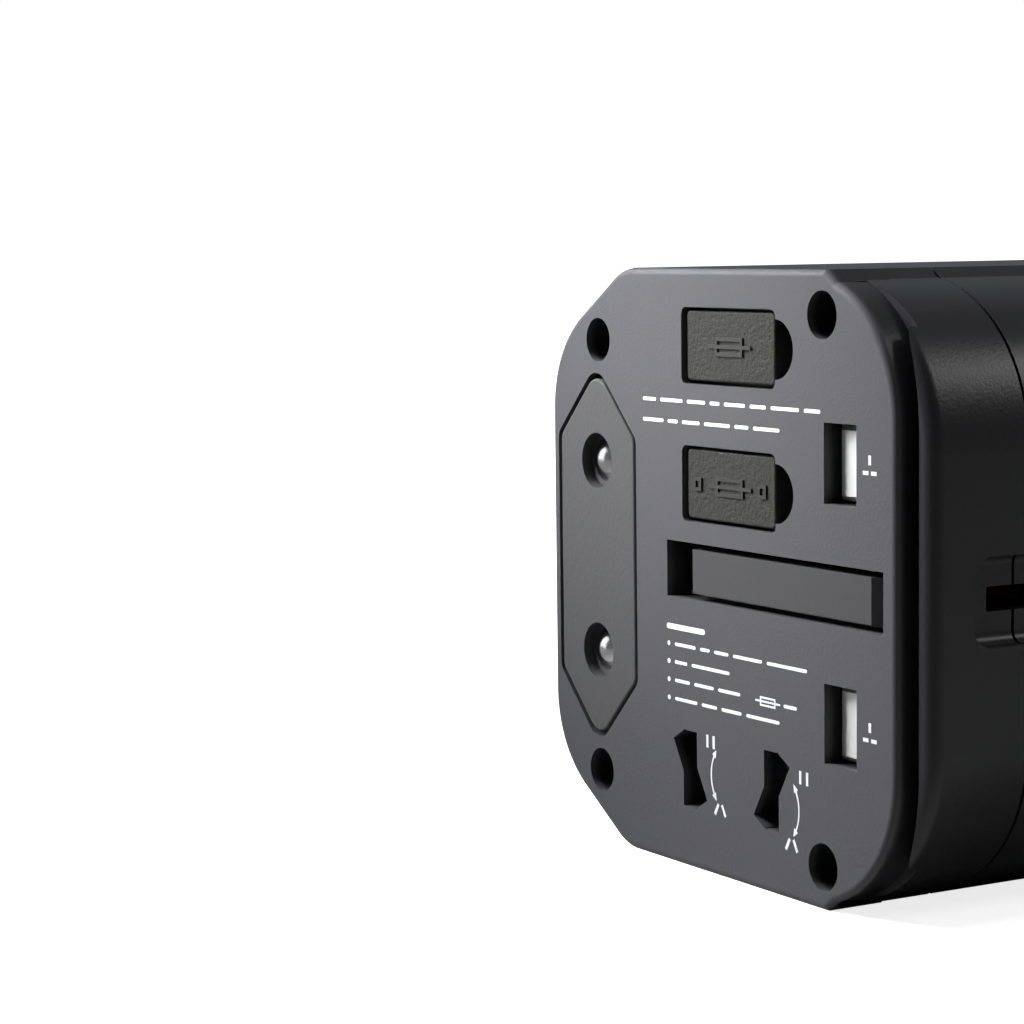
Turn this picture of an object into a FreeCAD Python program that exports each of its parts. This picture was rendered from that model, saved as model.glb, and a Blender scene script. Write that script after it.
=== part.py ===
import FreeCAD, Part
import os
import re
import Sketcher

# Universal travel adapter.
# Frame: +X to the right across the plug face, +Y from the plug face to the socket face, +Z up.
# The origin is the middle of the bottom of the bounding box, on the surface that the adapter stands on.

doc = FreeCAD.newDocument("travel_adapter")
sheet = doc.addObject("Spreadsheet::Sheet", "Sizes")

DIMENSIONS = (
    # casing
    ("body_depth", 68.0, "plug face to socket face"),
    ("body_width", 59.7, "over the two long sides"),
    ("body_height", 54.7, "over the flat pads"),
    ("shell_height", 53.4, "rounded shell without its pads"),
    ("shell_corner", 14.3, "radius of the shell's long corners"),
    ("pad_foot", 18.5, "half width of a pad where it leaves the shell"),
    ("pad_top", 16.9, "half width of a pad's flat"),
    ("pad_rise", 1.15, "height of a pad's sloping side"),
    ("wall", 2.0, "casing wall"),
    ("side_corner", 12.3, "radius of the long corners inside the casing"),
    ("plate_wall", 2.4, "wall behind the plug face"),
    ("seam_depth", 11.4, "plug face to the seam with the main shell"),
    ("seam_gap", 0.3, "visible line between two casing parts"),
    ("lip_wall", 1.2, "locating lip inside a seam"),
    ("lip_length", 1.8, "locating lip along the adapter"),
    ("rim_step", 1.4, "plug face to the front of the rim on the right"),
    ("rim_step_left", 3.0, "the same on the left, where the corner is cut back"),
    ("groove_width", 1.2, "moulded groove between plug face and rim"),
    ("groove_floor", 3.4, "plug face to the floor of the groove"),
    ("face_half", 27.0, "half width of the plug face"),
    ("face_corner", 12.6, "outer radius of the plug face's right corners"),
    ("face_corner_left", 10.6, "the same on the left"),
    ("face_edge", 0.6, "rounding round the plug face"),
    ("front_depth", 7.0, "length of the front cover"),
    ("front_edge", 2.2, "rounding round the front cover"),
    # screws
    ("screw_left_x", -18.5, "left screw holes across"),
    ("screw_left_z", 20.6, "left screw holes above and below the middle"),
    ("screw_right_x", 16.93, "right screw holes across"),
    ("screw_right_z", 23.55, "right screw holes above and below the middle"),
    ("screw_hole", 2.075, "radius of a screw well"),
    ("screw_post", 2.9, "radius of a screw post"),
    ("screw_well", 13.4, "plug face to the floor of a screw well"),
    # UK slide
    ("uk_pin_x", 19.43, "UK line and neutral pins across"),
    ("uk_pin_z", 11.1, "UK pins above and below the middle"),
    ("uk_pin_width", 4.0, "standard UK pin"),
    ("uk_pin_height", 6.35, "standard UK pin"),
    ("uk_pin_sink", 1.4, "plug face to the ends of the parked UK pins"),
    ("uk_slot_width", 4.52, "slot for a UK pin"),
    ("uk_slot_height", 6.88, "slot for a UK pin"),
    ("uk_guide_x", 18.0, "guide rods of the UK slide"),
    ("uk_guide_z", 5.3, "guide rods of the UK slide"),
    ("guide_radius", 1.0, "radius of a guide rod"),
    ("slide_play", 0.06, "play of a sliding fit"),
    # slider tracks
    ("track_start", 5.75, "plug face to the end of a side recess"),
    ("track_half", 3.8, "half height of a side recess"),
    ("track_corner", 2.0, "corner radius of a side recess"),
    ("track_sink", 2.0, "depth of a recess"),
    ("track_floor", 1.5, "wall under a recess"),
    ("slot_start", 8.7, "plug face to the end of the slot in a recess"),
    ("slot_half", 1.05, "half width of the slot"),
    ("stem_length", 4.0, "slider stem along the slot"),
    ("knob_nose", 2.4, "knob beyond its stem at each end"),
    ("knob_half", 3.2, "half width of a knob"),
    # earth pin
    ("earth_axis_x", -2.77, "hinge axis of the folding earth pin"),
    ("earth_axis_depth", 4.15, "plug face to the hinge axis"),
    ("earth_left", -6.9, "left end of the earth slot"),
    ("earth_right", 25.3, "right end of the earth slot"),
    ("earth_slot_half", 2.6, "half height of the earth slot"),
    ("earth_bar_half", 2.0, "standard UK earth pin, half thickness"),
    ("earth_bar_wide", 7.9, "standard UK earth pin, width"),
    ("earth_bar_start", -3.0, "square end of the bar"),
    ("earth_bar_end", 23.44, "start of the bar's tapered tip"),
    ("earth_tip", 24.9, "end of the bar's tip"),
    # europlug block
    ("eu_x", -18.95, "middle of the europlug block across"),
    ("eu_half", 6.5, "half width of the block"),
    ("eu_shoulder", 11.3, "shoulders of the hexagon"),
    ("eu_apex", 17.8, "top of the hexagon"),
    ("eu_gap", 0.4, "gap round the block"),
    ("eu_wall", 1.3, "side wall of the block"),
    ("eu_front_wall", 2.8, "front wall of the block"),
    ("eu_length", 23.0, "length of the block"),
    ("eu_pin_z", 9.1, "europlug pins above and below the middle"),
    ("eu_pin_radius", 2.0, "standard europlug pin"),
    ("eu_pin_sink", 0.4, "block's front to the tips of the parked pins"),
    ("eu_ring_radius", 2.65, "recess round each pin tip"),
    # US and AUS blades
    ("us_left_x", -3.3, "left blade across"),
    ("us_right_x", 9.4, "right blade across, 12.7 from the left one"),
    ("us_z", 18.2, "blades below the middle"),
    ("us_slot_width", 2.2, "slot for a blade"),
    ("us_slot_height", 7.05, "slot for a blade"),
    ("blade_thick", 1.5, "standard blade"),
    ("blade_wide", 6.35, "standard blade"),
    ("us_turn", 30.0, "degrees from the US to the Australian position"),
    ("hub_radius", 4.3, "turning hub of a blade"),
    ("hub_neck", 3.6, "journal of a hub"),
    ("us_knob_x", 3.05, "slider of the blades across"),
    # fuse drawers
    ("fuse_left", -4.34, "left side of a fuse well"),
    ("fuse_right", 10.2, "right side of a fuse well"),
    ("fuse_low", 17.0, "main fuse well above the middle"),
    ("fuse_high", 23.92, "top of the main fuse well"),
    ("spare_low", 4.53, "spare fuse well above the middle"),
    ("spare_high", 11.45, "top of the spare fuse well"),
    ("fuse_x", 2.93, "middle of a drawer across"),
    ("door_half", 6.8, "half width of a drawer's door"),
    ("door_half_height", 3.15, "half height of a drawer's door"),
    ("tray_half", 3.6, "half width of a tray"),
    ("cartridge_radius", 2.55, "cap of a 5 x 20 glass fuse"),
    # socket side
    ("eu_socket_x", 9.5, "europlug holes of the socket"),
    ("eu_socket_z", 2.0, "europlug holes above the middle"),
    ("eu_socket_radius", 2.45, "europlug hole"),
    ("uk_socket_z", -8.5, "UK and US slots against the middle"),
    ("socket_half", 21.5, "half size of the socket plate"),
    ("socket_corner", 6.0, "corner radius of the socket plate"),
    # USB ports
    ("usb_y", 19.5, "middle of the ports along the adapter"),
    ("usb_pitch", 8.6, "distance between ports"),
    ("usb_first_x", -13.0, "first USB-A port"),
    ("usb_wide", 13.1, "USB-A shell"),
    ("usb_thick", 5.7, "USB-A shell"),
    ("usb_board_z", 38.0, "underside of the USB board"),
)

for row, (alias, value, meaning) in enumerate(DIMENSIONS, start=1):
    sheet.set(f"A{row}", meaning)
    sheet.set(f"B{row}", str(value))
    sheet.setAlias(f"B{row}", alias)
doc.recompute()

ALIASES = [alias for alias, value, meaning in DIMENSIONS]
NAMES = re.compile(r"\b(" + "|".join(sorted(ALIASES, key=len, reverse=True)) + r")\b")

# Places that are used again and again, as expressions of the driving dimensions.
PLUG_FACE = "-body_depth/2"
SOCKET_FACE = "body_depth/2"
MIDDLE = "body_height/2"
SEAM = f"({PLUG_FACE} + seam_depth)"
FRONT_SEAM = f"({SOCKET_FACE} - front_depth)"
INSIDE = f"({PLUG_FACE} + plate_wall)"
SIDE_FLOOR = "(body_width/2 - track_sink)"
RAIL = "(body_width/2 - track_sink - track_floor)"

pieces = []


def bound(expression):
    """The expression as a spreadsheet formula of this document."""
    return NAMES.sub(r"Sizes.\1", str(expression))


def value(expression):
    """What an expression of the driving dimensions comes to."""
    numbers = NAMES.sub(lambda found: str(sheet.get(found.group(1))), str(expression))
    return float(FreeCAD.Units.Quantity(f"({numbers})*1").Value)


def place(obj, x=0, y=0, z=0):
    for axis, expression in (("x", x), ("y", y), ("z", z)):
        obj.setExpression(f"Placement.Base.{axis}", bound(expression))
    return obj


def block(name, x, y, z):
    """A box between the low and high ends given for each axis."""
    box = doc.addObject("Part::Box", name)
    place(box, x[0], y[0], z[0])
    for size, (low, high) in zip(("Length", "Width", "Height"), (x, y, z)):
        box.setExpression(size, bound(f"({high}) - ({low})"))
    return box


def middle_block(name, x, y, z):
    """A box whose heights are measured from the middle of the adapter."""
    return block(name, x, y, (f"{MIDDLE} + {z[0]}", f"{MIDDLE} + {z[1]}"))


TURNS = {
    "X": FreeCAD.Rotation(FreeCAD.Vector(0, 1, 0), 90),
    "Y": FreeCAD.Rotation(FreeCAD.Vector(1, 0, 0), -90),
    "Z": FreeCAD.Rotation(),
}


def rod(name, axis, start, length, radius):
    """A cylinder along an axis, from its start point."""
    cylinder = doc.addObject("Part::Cylinder", name)
    cylinder.Placement.Rotation = TURNS[axis]
    place(cylinder, *start)
    cylinder.setExpression("Height", bound(length))
    cylinder.setExpression("Radius", bound(radius))
    return cylinder


PLANES = {
    "Y": (FreeCAD.Rotation(FreeCAD.Vector(1, 0, 0), 90), FreeCAD.Vector(0, 1, 0)),
    "Z": (FreeCAD.Rotation(), FreeCAD.Vector(0, 0, 1)),
}


def prism(name, axis, corners, start, length, turn=0, centre=(0, 0)):
    """A sketched outline of straight sides, extruded along Y or Z from start."""
    sketch = doc.addObject("Sketcher::SketchObject", name + "_outline")
    rotation, direction = PLANES[axis]
    spin = FreeCAD.Rotation(FreeCAD.Vector(0, 0, 1), turn)
    sketch.Placement.Rotation = rotation.multiply(spin)
    if axis == "Y":
        place(sketch, centre[0], start, centre[1])
    else:
        place(sketch, centre[0], centre[1], start)
    points = [FreeCAD.Vector(value(across), value(up), 0) for across, up in corners]
    count = len(points)
    for index in range(count):
        sketch.addGeometry(Part.LineSegment(points[index], points[(index + 1) % count]))
    for index in range(count):
        following = (index + 1) % count
        sketch.addConstraint(Sketcher.Constraint("Coincident", index, 2, following, 1))
    for index, (across, up) in enumerate(corners):
        for kind, expression in (("DistanceX", across), ("DistanceY", up)):
            constraint = Sketcher.Constraint(kind, -1, 1, index, 1, value(expression))
            number = sketch.addConstraint(constraint)
            sketch.setExpression(f"Constraints[{number}]", bound(expression))
    solid = doc.addObject("Part::Extrusion", name)
    solid.Base = sketch
    solid.DirMode = "Custom"
    solid.Dir = direction
    solid.Solid = True
    solid.setExpression("LengthFwd", bound(length))
    return solid


def cut(name, base, *tools):
    tool = tools[0] if len(tools) == 1 else join(name + "_tools", *tools)
    result = doc.addObject("Part::Cut", name)
    result.Base = base
    result.Tool = tool
    result.Refine = True
    return result


def join(name, *parts):
    result = doc.addObject("Part::MultiFuse", name)
    result.Shapes = list(parts)
    result.Refine = True
    return result


def group(name, *parts):
    """Separate solids that are one node, such as identical fasteners."""
    result = doc.addObject("Part::Compound", name)
    result.Links = list(parts)
    return result


def along(axis):
    """Picks the edges that run along an axis."""
    def test(edge):
        direction = edge.Vertexes[-1].Point - edge.Vertexes[0].Point
        return direction.Length > 1e-6 and abs(abs(direction.normalize()[axis]) - 1) < 1e-6
    return test


def at_level(axis, expression):
    """Picks the edges that lie in the plane of one level of an axis."""
    level = value(expression)

    def test(edge):
        box = edge.BoundBox
        low = (box.XMin, box.YMin, box.ZMin)[axis]
        high = (box.XMax, box.YMax, box.ZMax)[axis]
        return abs(low - level) < 1e-3 and abs(high - level) < 1e-3
    return test


def finish_edges(kind, name, base, *choices):
    """Fillets or chamfers edges: each choice is a test and the size for the edges that pass it."""
    doc.recompute()
    result = doc.addObject(kind, name)
    result.Base = base
    picked = []
    for index, edge in enumerate(base.Shape.Edges, start=1):
        for test, size in choices:
            if test(edge):
                picked.append((index, value(size), value(size)))
                break
    result.Edges = picked
    return result


def rounded(name, base, *choices):
    return finish_edges("Part::Fillet", name, base, *choices)


def chamfered(name, base, *choices):
    return finish_edges("Part::Chamfer", name, base, *choices)


def piece(label, obj):
    """Names a finished sub-part, which is written to parts/LABEL.step."""
    obj.Label = label
    pieces.append(obj)
    return obj


# ---------------------------------------------------------------------------------------------
# Casing sections
# ---------------------------------------------------------------------------------------------

def casing_bar(name, start, end):
    """The casing's full section with its two pads, along part of the adapter."""
    half = "shell_height/2"
    square = block(name + "_square", ("-body_width/2", "body_width/2"), (start, end),
                   (f"{MIDDLE} - {half}", f"{MIDDLE} + {half}"))
    shell = rounded(name + "_shell", square, (along(1), "shell_corner"))
    return join(name, shell, casing_pads(name + "_pads", start, f"({end}) - ({start})"))


def hollow_bar(name, start, length, shrink="0"):
    """The space inside the casing, with the walls under the slider recesses left standing."""
    end = f"({start}) + {length}"
    half_width = f"(body_width/2 - wall - {shrink})"
    half_height = f"(shell_height/2 - wall - {shrink})"
    square = block(name + "_square", (f"-{half_width}", half_width), (start, end),
                   (f"{MIDDLE} - {half_height}", f"{MIDDLE} + {half_height}"))
    return rounded(name + "_round", square, (along(1), f"side_corner - {shrink}"))


def side_rails(name, start, length):
    """Thicker walls inside both long sides and the bottom, under the slider recesses."""
    end = f"({start}) + {length}"
    rail_half = "track_half + 1.6"
    rails = []
    for side, low, high in (("left", "-body_width/2 + 1", f"-{RAIL}"), ("right", RAIL, "body_width/2 - 1")):
        rails.append(middle_block(f"{name}_{side}", (low, high), (start, end),
                                  (f"-({rail_half})", rail_half)))
    rails.append(block(name + "_bottom", (f"us_knob_x - ({rail_half})", f"us_knob_x + {rail_half}"),
                       (start, end), ("1.2", "track_floor + 1.55")))
    return join(name, *rails)


def track(name, side, knob_end, slot_end):
    """The recess and slot that a slider's knob runs in, cut through both casing parts."""
    recess_y = (f"{PLUG_FACE} + track_start", knob_end)
    slot_y = (f"{PLUG_FACE} + slot_start", slot_end)
    if side == "bottom":
        centre = "us_knob_x"
        recess = block(name + "_square", (f"{centre} - track_half", f"{centre} + track_half"),
                       recess_y, ("-1", "1.7"))
        slot = block(name + "_slot", (f"{centre} - slot_half", f"{centre} + slot_half"), slot_y, ("-1", "5"))
        recess = rounded(name + "_recess", recess, (along(2), "track_corner"))
        return join(name, recess, slot)
    if side == "left":
        recess_x = ("-body_width/2 - 1", f"-{SIDE_FLOOR}")
        slot_x = ("-body_width/2 - 1", "-body_width/2 + 6")
    else:
        recess_x = (SIDE_FLOOR, "body_width/2 + 1")
        slot_x = ("body_width/2 - 6", "body_width/2 + 1")
    recess = middle_block(name + "_square", recess_x, recess_y, ("-track_half", "track_half"))
    slot = middle_block(name + "_slot", slot_x, slot_y, ("-slot_half", "slot_half"))
    recess = rounded(name + "_recess", recess, (along(0), "track_corner"))
    floor = recess_x[1] if side == "left" else recess_x[0]
    dished = rounded(name + "_dished", recess, (at_level(0, floor), "1"))
    return join(name, dished, slot)


def hexagon(name, start, length, grow="0"):
    """The europlug outline, made larger or smaller all round."""
    half = f"(eu_half + {grow})"
    shoulder = f"(eu_shoulder + 0.41*({grow}))"
    apex = f"(eu_apex + 1.41*({grow}))"
    corners = ((f"-{half}", f"-{shoulder}"), ("0", f"-{apex}"), (half, f"-{shoulder}"),
               (half, shoulder), ("0", apex), (f"-{half}", shoulder))
    bar = prism(name + "_bar", "Y", corners, start, length, centre=("eu_x", MIDDLE))
    return rounded(name, bar, (beyond(-20, -18, 15), "2.2"), (along(1), "1.2"))


SCREWS = tuple(("left" if side < 0 else "right", sign) for side in (-1, 1) for sign in (-1, 1))


def at_screws(name, start, length, radius):
    """Four cylinders along the adapter, one at each screw."""
    rods = []
    for side, sign in SCREWS:
        height = f"{MIDDLE} + {sign}*screw_{side}_z"
        rods.append(rod(f"{name}_{side}_{'top' if sign > 0 else 'low'}", "Y",
                        (f"screw_{side}_x", start, height), length, radius))
    return rods


TRACK_ENDS = {
    "left": ("17.2", "12.2"),
    "right": ("2.6", "-2.4"),
    "bottom": ("3.4", "-1.4"),
}


# ---------------------------------------------------------------------------------------------
# Rear cover: plug face, groove, rim and the first stretch of the sides
# ---------------------------------------------------------------------------------------------

def beyond(x_low, x_high, inner_z):
    """Picks the long edges between two places across, further from the middle than inner_z."""
    middle = value(MIDDLE)

    def test(edge):
        box = edge.BoundBox
        return along(1)(edge) and x_low < box.XMin < x_high and abs(box.ZMin - middle) > inner_z
    return test


def face_prism(name, start, length):
    """The plug face: large round corners at the right, sloping corners at the left, pads above and below."""
    top = "body_height/2"
    foot = "(body_height/2 - 1.07)"
    upper = (("face_half", "23.3"), ("18.6", foot), ("17.2", top), ("-14.46", top), ("-face_half", "19.6"))
    lower = tuple((across, f"-{up}") for across, up in reversed(upper))
    bar = prism(name + "_bar", "Y", upper + lower, start, length, centre=("0", MIDDLE))
    return rounded(name, bar, (beyond(26, 28, 22), "face_corner - 0.1"), (beyond(-16, -13, 25), "6"),
                   (beyond(-28, -26, 15), "face_corner_left"))


def make_rear_cover():
    rim_face = f"{PLUG_FACE} + rim_step"
    deep_face = f"{PLUG_FACE} + rim_step_left"
    half = "shell_height/2"
    shells = []
    for name, low, start in (("deep", "-body_width/2", deep_face), ("rim", "-body_width/2", rim_face)):
        square = block(f"cover_{name}_square", (low, "body_width/2"), (start, SEAM),
                       (f"{MIDDLE} - {half}", f"{MIDDLE} + {half}"))
        long_round = rounded(f"cover_{name}_long", square, (along(1), "shell_corner"))
        shells.append(rounded(f"cover_{name}_round", long_round, (at_level(1, start), "1.3")))
    right_half = block("cover_right_half", ("0", "40"), ("-40", "0"), ("-1", "body_height + 1"))
    right_rim = doc.addObject("Part::MultiCommon", "cover_rim")
    right_rim.Shapes = [shells[1], right_half]
    pads = casing_pads("cover_pads", deep_face, f"seam_depth - rim_step_left")
    face = rounded("cover_face_round", face_prism("cover_face", PLUG_FACE, "6"),
                   (at_level(1, PLUG_FACE), "face_edge"))
    body = join("cover_body", shells[0], right_rim, pads, face)

    rim = "(face_half + groove_width)"
    corners = (("18.6", "-27.5"), (rim, "-24.1"), (rim, "24.1"), ("18.6", "27.5"))
    groove_outer = prism("groove_outer", "Y", corners, f"{PLUG_FACE} - 1", "groove_floor + 1",
                         centre=("0", MIDDLE))
    groove_outer = rounded("groove_outer_round", groove_outer, (beyond(28, 29, 20), "13.5"))
    groove = cut("groove", groove_outer, face_prism("groove_core", f"{PLUG_FACE} - 2", "8"))
    lip = lip_ring("cover_lip", f"{SEAM} - 1", f"{SEAM} + lip_length")
    deep_hollow = cut("cover_hollow", hollow_bar("cover_space", f"{PLUG_FACE} + 5", "seam_depth"),
                      side_rails("cover_rails", f"{PLUG_FACE} + 4", "seam_depth - 4"))
    near_hollow = middle_block("cover_near_square", ("-25.3", "26.1"), (INSIDE, f"{PLUG_FACE} + 6"),
                               ("-24.2", "24.2"))
    near_hollow = rounded("cover_near_space", near_hollow, (along(1), "11"))
    posts = join("cover_posts", *at_screws("post", f"{INSIDE} - 0.2", "screw_well - plate_wall + 1.6",
                                          "screw_post"))
    shell = cut("cover_shell", body, groove, deep_hollow, near_hollow)
    with_posts = join("cover_with_posts", shell, posts, lip)

    wells = at_screws("well", f"{PLUG_FACE} - 1", "screw_well + 1", "screw_hole")
    shanks = at_screws("shank_hole", PLUG_FACE, "screw_well + 4", "1.35")
    window = hexagon("eu_window", f"{PLUG_FACE} - 1", "eu_length + 4", "eu_gap")
    slots = [window]
    for sign in (-1, 1):
        side = "top" if sign > 0 else "low"
        slots.append(middle_block(f"uk_slot_{side}",
                                  ("uk_pin_x - uk_slot_width/2", "uk_pin_x + uk_slot_width/2"),
                                  (f"{PLUG_FACE} - 1", f"{INSIDE} + 1"),
                                  (f"{sign}*uk_pin_z - uk_slot_height/2",
                                   f"{sign}*uk_pin_z + uk_slot_height/2")))
    slots.append(middle_block("earth_slot", ("earth_left", "earth_right"),
                              (f"{PLUG_FACE} - 1", f"{INSIDE} + 1"), ("-earth_slot_half", "earth_slot_half")))
    slots += blade_slots()
    slots += fuse_wells()
    tracks = [track(f"cover_track_{side}", side, *TRACK_ENDS[side]) for side in TRACK_ENDS]
    cover = cut("rear_cover_sharp", with_posts, *(wells + shanks + slots + tracks))
    return piece("rear_cover", cover)


def blade_slots():
    slots = []
    for side, sign in (("left", -1), ("right", 1)):
        for name, turn in (("us", 0), ("aus", value("us_turn"))):
            corners = (("-us_slot_width/2", "-us_slot_height/2"), ("us_slot_width/2", "-us_slot_height/2"),
                       ("us_slot_width/2", "us_slot_height/2"), ("-us_slot_width/2", "us_slot_height/2"))
            slots.append(prism(f"{name}_slot_{side}", "Y", corners, f"{PLUG_FACE} - 1", "plate_wall + 2",
                               turn=-sign*turn, centre=(f"us_{side}_x", f"{MIDDLE} - us_z")))
    return slots


def fuse_wells():
    wells = []
    for name, low, high in (("main", "fuse_low", "fuse_high"), ("spare", "spare_low", "spare_high")):
        well = middle_block(f"{name}_well_square", ("fuse_left", "fuse_right"),
                            (f"{PLUG_FACE} - 1", f"{INSIDE} + 1"), (low, high))
        wells.append(rounded(f"{name}_well", well, (along(1), "0.7")))
        wells.append(rod(f"{name}_notch", "Y", ("fuse_right", f"{PLUG_FACE} - 1", f"{MIDDLE} + ({low} + {high})/2"),
                         "plate_wall + 2", "2.6"))
    return wells


def casing_pads(name, start, length):
    """The two flat pads: a six-sided bar whose sloping sides stand proud of the rounded shell."""
    half = "body_height/2"
    foot = "(body_height/2 - pad_rise)"
    return prism(name, "Y", (
        ("-pad_foot", f"-{foot}"), ("-pad_top", f"-{half}"), ("pad_top", f"-{half}"), ("pad_foot", f"-{foot}"),
        ("pad_foot", foot), ("pad_top", half), ("-pad_top", half), ("-pad_foot", foot)),
        start, length, centre=("0", MIDDLE))


def lip_ring(name, start, end):
    """The locating lip inside a seam."""
    length = f"({end}) - ({start})"
    outer = hollow_bar(name + "_outer", start, length, "0.1")
    inner = hollow_bar(name + "_inner", f"({start}) - 1", f"{length} + 2", "0.1 + lip_wall")
    return cut(name, outer, inner)


make_rear_cover()

# ---------------------------------------------------------------------------------------------
# Main shell, front cover, socket plate and screws
# ---------------------------------------------------------------------------------------------

def make_main_shell():
    start = f"{SEAM} + seam_gap"
    outer = casing_bar("shell_outer", start, FRONT_SEAM)
    space = cut("shell_hollow", hollow_bar("shell_space", f"{start} - 1", f"({FRONT_SEAM}) - ({start}) + 2"),
                side_rails("shell_rails", f"{start} - 2", "20 + seam_depth - rim_step + 14"))
    boss_start = f"{PLUG_FACE} + screw_well + 1.8"
    web_run = (boss_start, f"{boss_start} + 10")
    webs = [middle_block("boss_web_low", ("-23", "-18.5"), web_run, ("-23.6", "-20.6")),
            middle_block("boss_web_top", ("-23", "-18.5"), web_run, ("20.6", "23.6"))]
    bosses = join("shell_bosses", *(at_screws("boss", boss_start, "10", "screw_post") + webs))
    pilots = at_screws("pilot", f"{PLUG_FACE} + screw_well", "10.5", "1.25")
    pilots += at_screws("post_room", f"{SEAM} - 1", "screw_well - seam_depth + 2.7", "screw_post + 0.1")
    clear = hexagon("eu_passage", f"{PLUG_FACE} + 10", "eu_length + 4", "eu_gap")
    tracks = [track(f"shell_track_{side}", side, *TRACK_ENDS[side]) for side in TRACK_ENDS]
    mouths = [usb_block(f"usb_mouth_{index}", index, "0.25", "usb_board_z + 9", "body_height + 1")
              for index in range(4)]
    walls = cut("shell_walls", outer, space)
    posts = join("shell_with_bosses", walls, bosses)
    return piece("main_shell", cut("main_shell_cut", posts, clear, *(pilots + tracks + mouths)))


def make_front_cover():
    start = f"{FRONT_SEAM} + seam_gap"
    half = "shell_height/2"
    square = block("front_square", ("-body_width/2", "body_width/2"), (start, SOCKET_FACE),
                   (f"{MIDDLE} - {half}", f"{MIDDLE} + {half}"))
    long_round = rounded("front_long", square, (along(1), "shell_corner"))
    shell = rounded("front_round", long_round, (at_level(1, SOCKET_FACE), "front_edge"))
    pads = casing_pads("front_pads", start, "front_depth - seam_gap - front_edge")
    lip = lip_ring("front_lip", f"{FRONT_SEAM} - lip_length", f"{start} + 1")
    space = hollow_bar("front_space", f"{FRONT_SEAM} - 1", "front_depth - 2.4 + 1")
    hollow_shell = cut("front_hollow", join("front_body", shell, pads), space)
    window = middle_block("front_window_square", ("-socket_half - 0.2", "socket_half + 0.2"), ("28", "36"),
                          ("-socket_half - 0.2", "socket_half + 0.2"))
    window = rounded("front_window", window, (along(1), "socket_corner + 0.2"))
    return piece("front_cover", cut("front_cover_cut", join("front_with_lip", hollow_shell, lip), window))


def make_socket_plate():
    plate = middle_block("socket_square", ("-socket_half", "socket_half"), ("31.2", "33.5"),
                         ("-socket_half", "socket_half"))
    plate = rounded("socket_long", plate, (along(1), "socket_corner"))
    plate = rounded("socket_round", plate, (at_level(1, "33.5"), "0.6"))
    flange = middle_block("socket_flange", ("-socket_half - 1.6", "socket_half + 1.6"), ("30.0", "31.4"),
                          ("-socket_half - 1.6", "socket_half + 1.6"))
    flange = rounded("socket_flange_round", flange, (along(1), "socket_corner + 1.6"))
    recess = middle_block("socket_back", ("-17.5", "17.5"), ("29", "31.2"), ("-24.5", "6.2"))
    holes = []
    for side, sign in (("left", -1), ("right", 1)):
        holes.append(rod(f"eu_hole_{side}", "Y", (f"{sign}*eu_socket_x", "29", f"{MIDDLE} + eu_socket_z"), "6",
                         "eu_socket_radius"))
        ends = sorted((sign*5.4, sign*14.45))
        holes.append(middle_block(f"uk_hole_{side}", ends, ("29", "35"),
                                  ("uk_socket_z - 2.2", "uk_socket_z + 2.2")))
        for name, turn in (("us", 0), ("aus", value("us_turn"))):
            corners = (("-1.1", "-3.7"), ("1.1", "-3.7"), ("1.1", "3.7"), ("-1.1", "3.7"))
            holes.append(prism(f"{name}_hole_{side}", "Y", corners, "29", "6", turn=sign*turn,
                               centre=(f"{sign}*6.5", f"{MIDDLE} + uk_socket_z")))
    holes.append(middle_block("earth_hole", ("-2.3", "2.3"), ("29", "35"), ("10.0", "18.4")))
    holes.append(rod("led_hole", "Y", ("16.5", "29", f"{MIDDLE} + 16.5"), "6", "1.3"))
    return piece("socket_plate", cut("socket_plate_cut", join("socket_whole", plate, flange), recess, *holes))


def make_cover_screws():
    """Pan-head screws with a cross recess, each at the floor of its well."""
    floor = f"{PLUG_FACE} + screw_well"
    screws = []
    heads = at_screws("screw_head", f"{floor} - 1.5", "1.5", "1.9")
    shanks = at_screws("screw_shank", f"{floor} - 0.1", "9.0", "1.2")
    for (side, sign), head, shank in zip(SCREWS, heads, shanks):
        tag = f"{side}_{'top' if sign > 0 else 'low'}"
        height = f"{sign}*screw_{side}_z"
        across = f"screw_{side}_x"
        domed = rounded(f"screw_dome_{tag}", head, (at_level(1, f"{floor} - 1.5"), "0.6"))
        bars = [middle_block(f"cross_a_{tag}", (f"{across} - 1.1", f"{across} + 1.1"),
                             (f"{floor} - 2", f"{floor} - 0.8"), (f"{height} - 0.25", f"{height} + 0.25")),
                middle_block(f"cross_b_{tag}", (f"{across} - 0.25", f"{across} + 0.25"),
                             (f"{floor} - 2", f"{floor} - 0.8"), (f"{height} - 1.1", f"{height} + 1.1"))]
        screws.append(cut(f"screw_{tag}", join(f"screw_blank_{tag}", domed, shank), *bars))
    return piece("cover_screws", group("cover_screw_set", *screws))


def usb_block(name, index, grow, low, high):
    """The outline of one USB port, standing upright: three USB-A ports and one USB-C port."""
    across = f"usb_first_x + {index}*usb_pitch"
    thick = "usb_thick" if index < 3 else "3.2"
    wide = "usb_wide" if index < 3 else "8.9"
    square = block(name + "_square",
                   (f"{across} - ({thick})/2 - {grow}", f"{across} + ({thick})/2 + {grow}"),
                   (f"usb_y - ({wide})/2 - {grow}", f"usb_y + ({wide})/2 + {grow}"), (low, high))
    return rounded(name, square, (along(2), "0.5" if index < 3 else "1.55"))


make_main_shell()
make_front_cover()
make_socket_plate()
make_cover_screws()

# ---------------------------------------------------------------------------------------------
# UK slide: two brass pins on a carrier, moved by the knob on the right side
# ---------------------------------------------------------------------------------------------

def two_rods(name, points, start, length, radius):
    rods = []
    for index, (across, height) in enumerate(points):
        rods.append(rod(f"{name}_{index}", "Y", (across, start, f"{MIDDLE} + {height}"), length, radius))
    return rods


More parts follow.
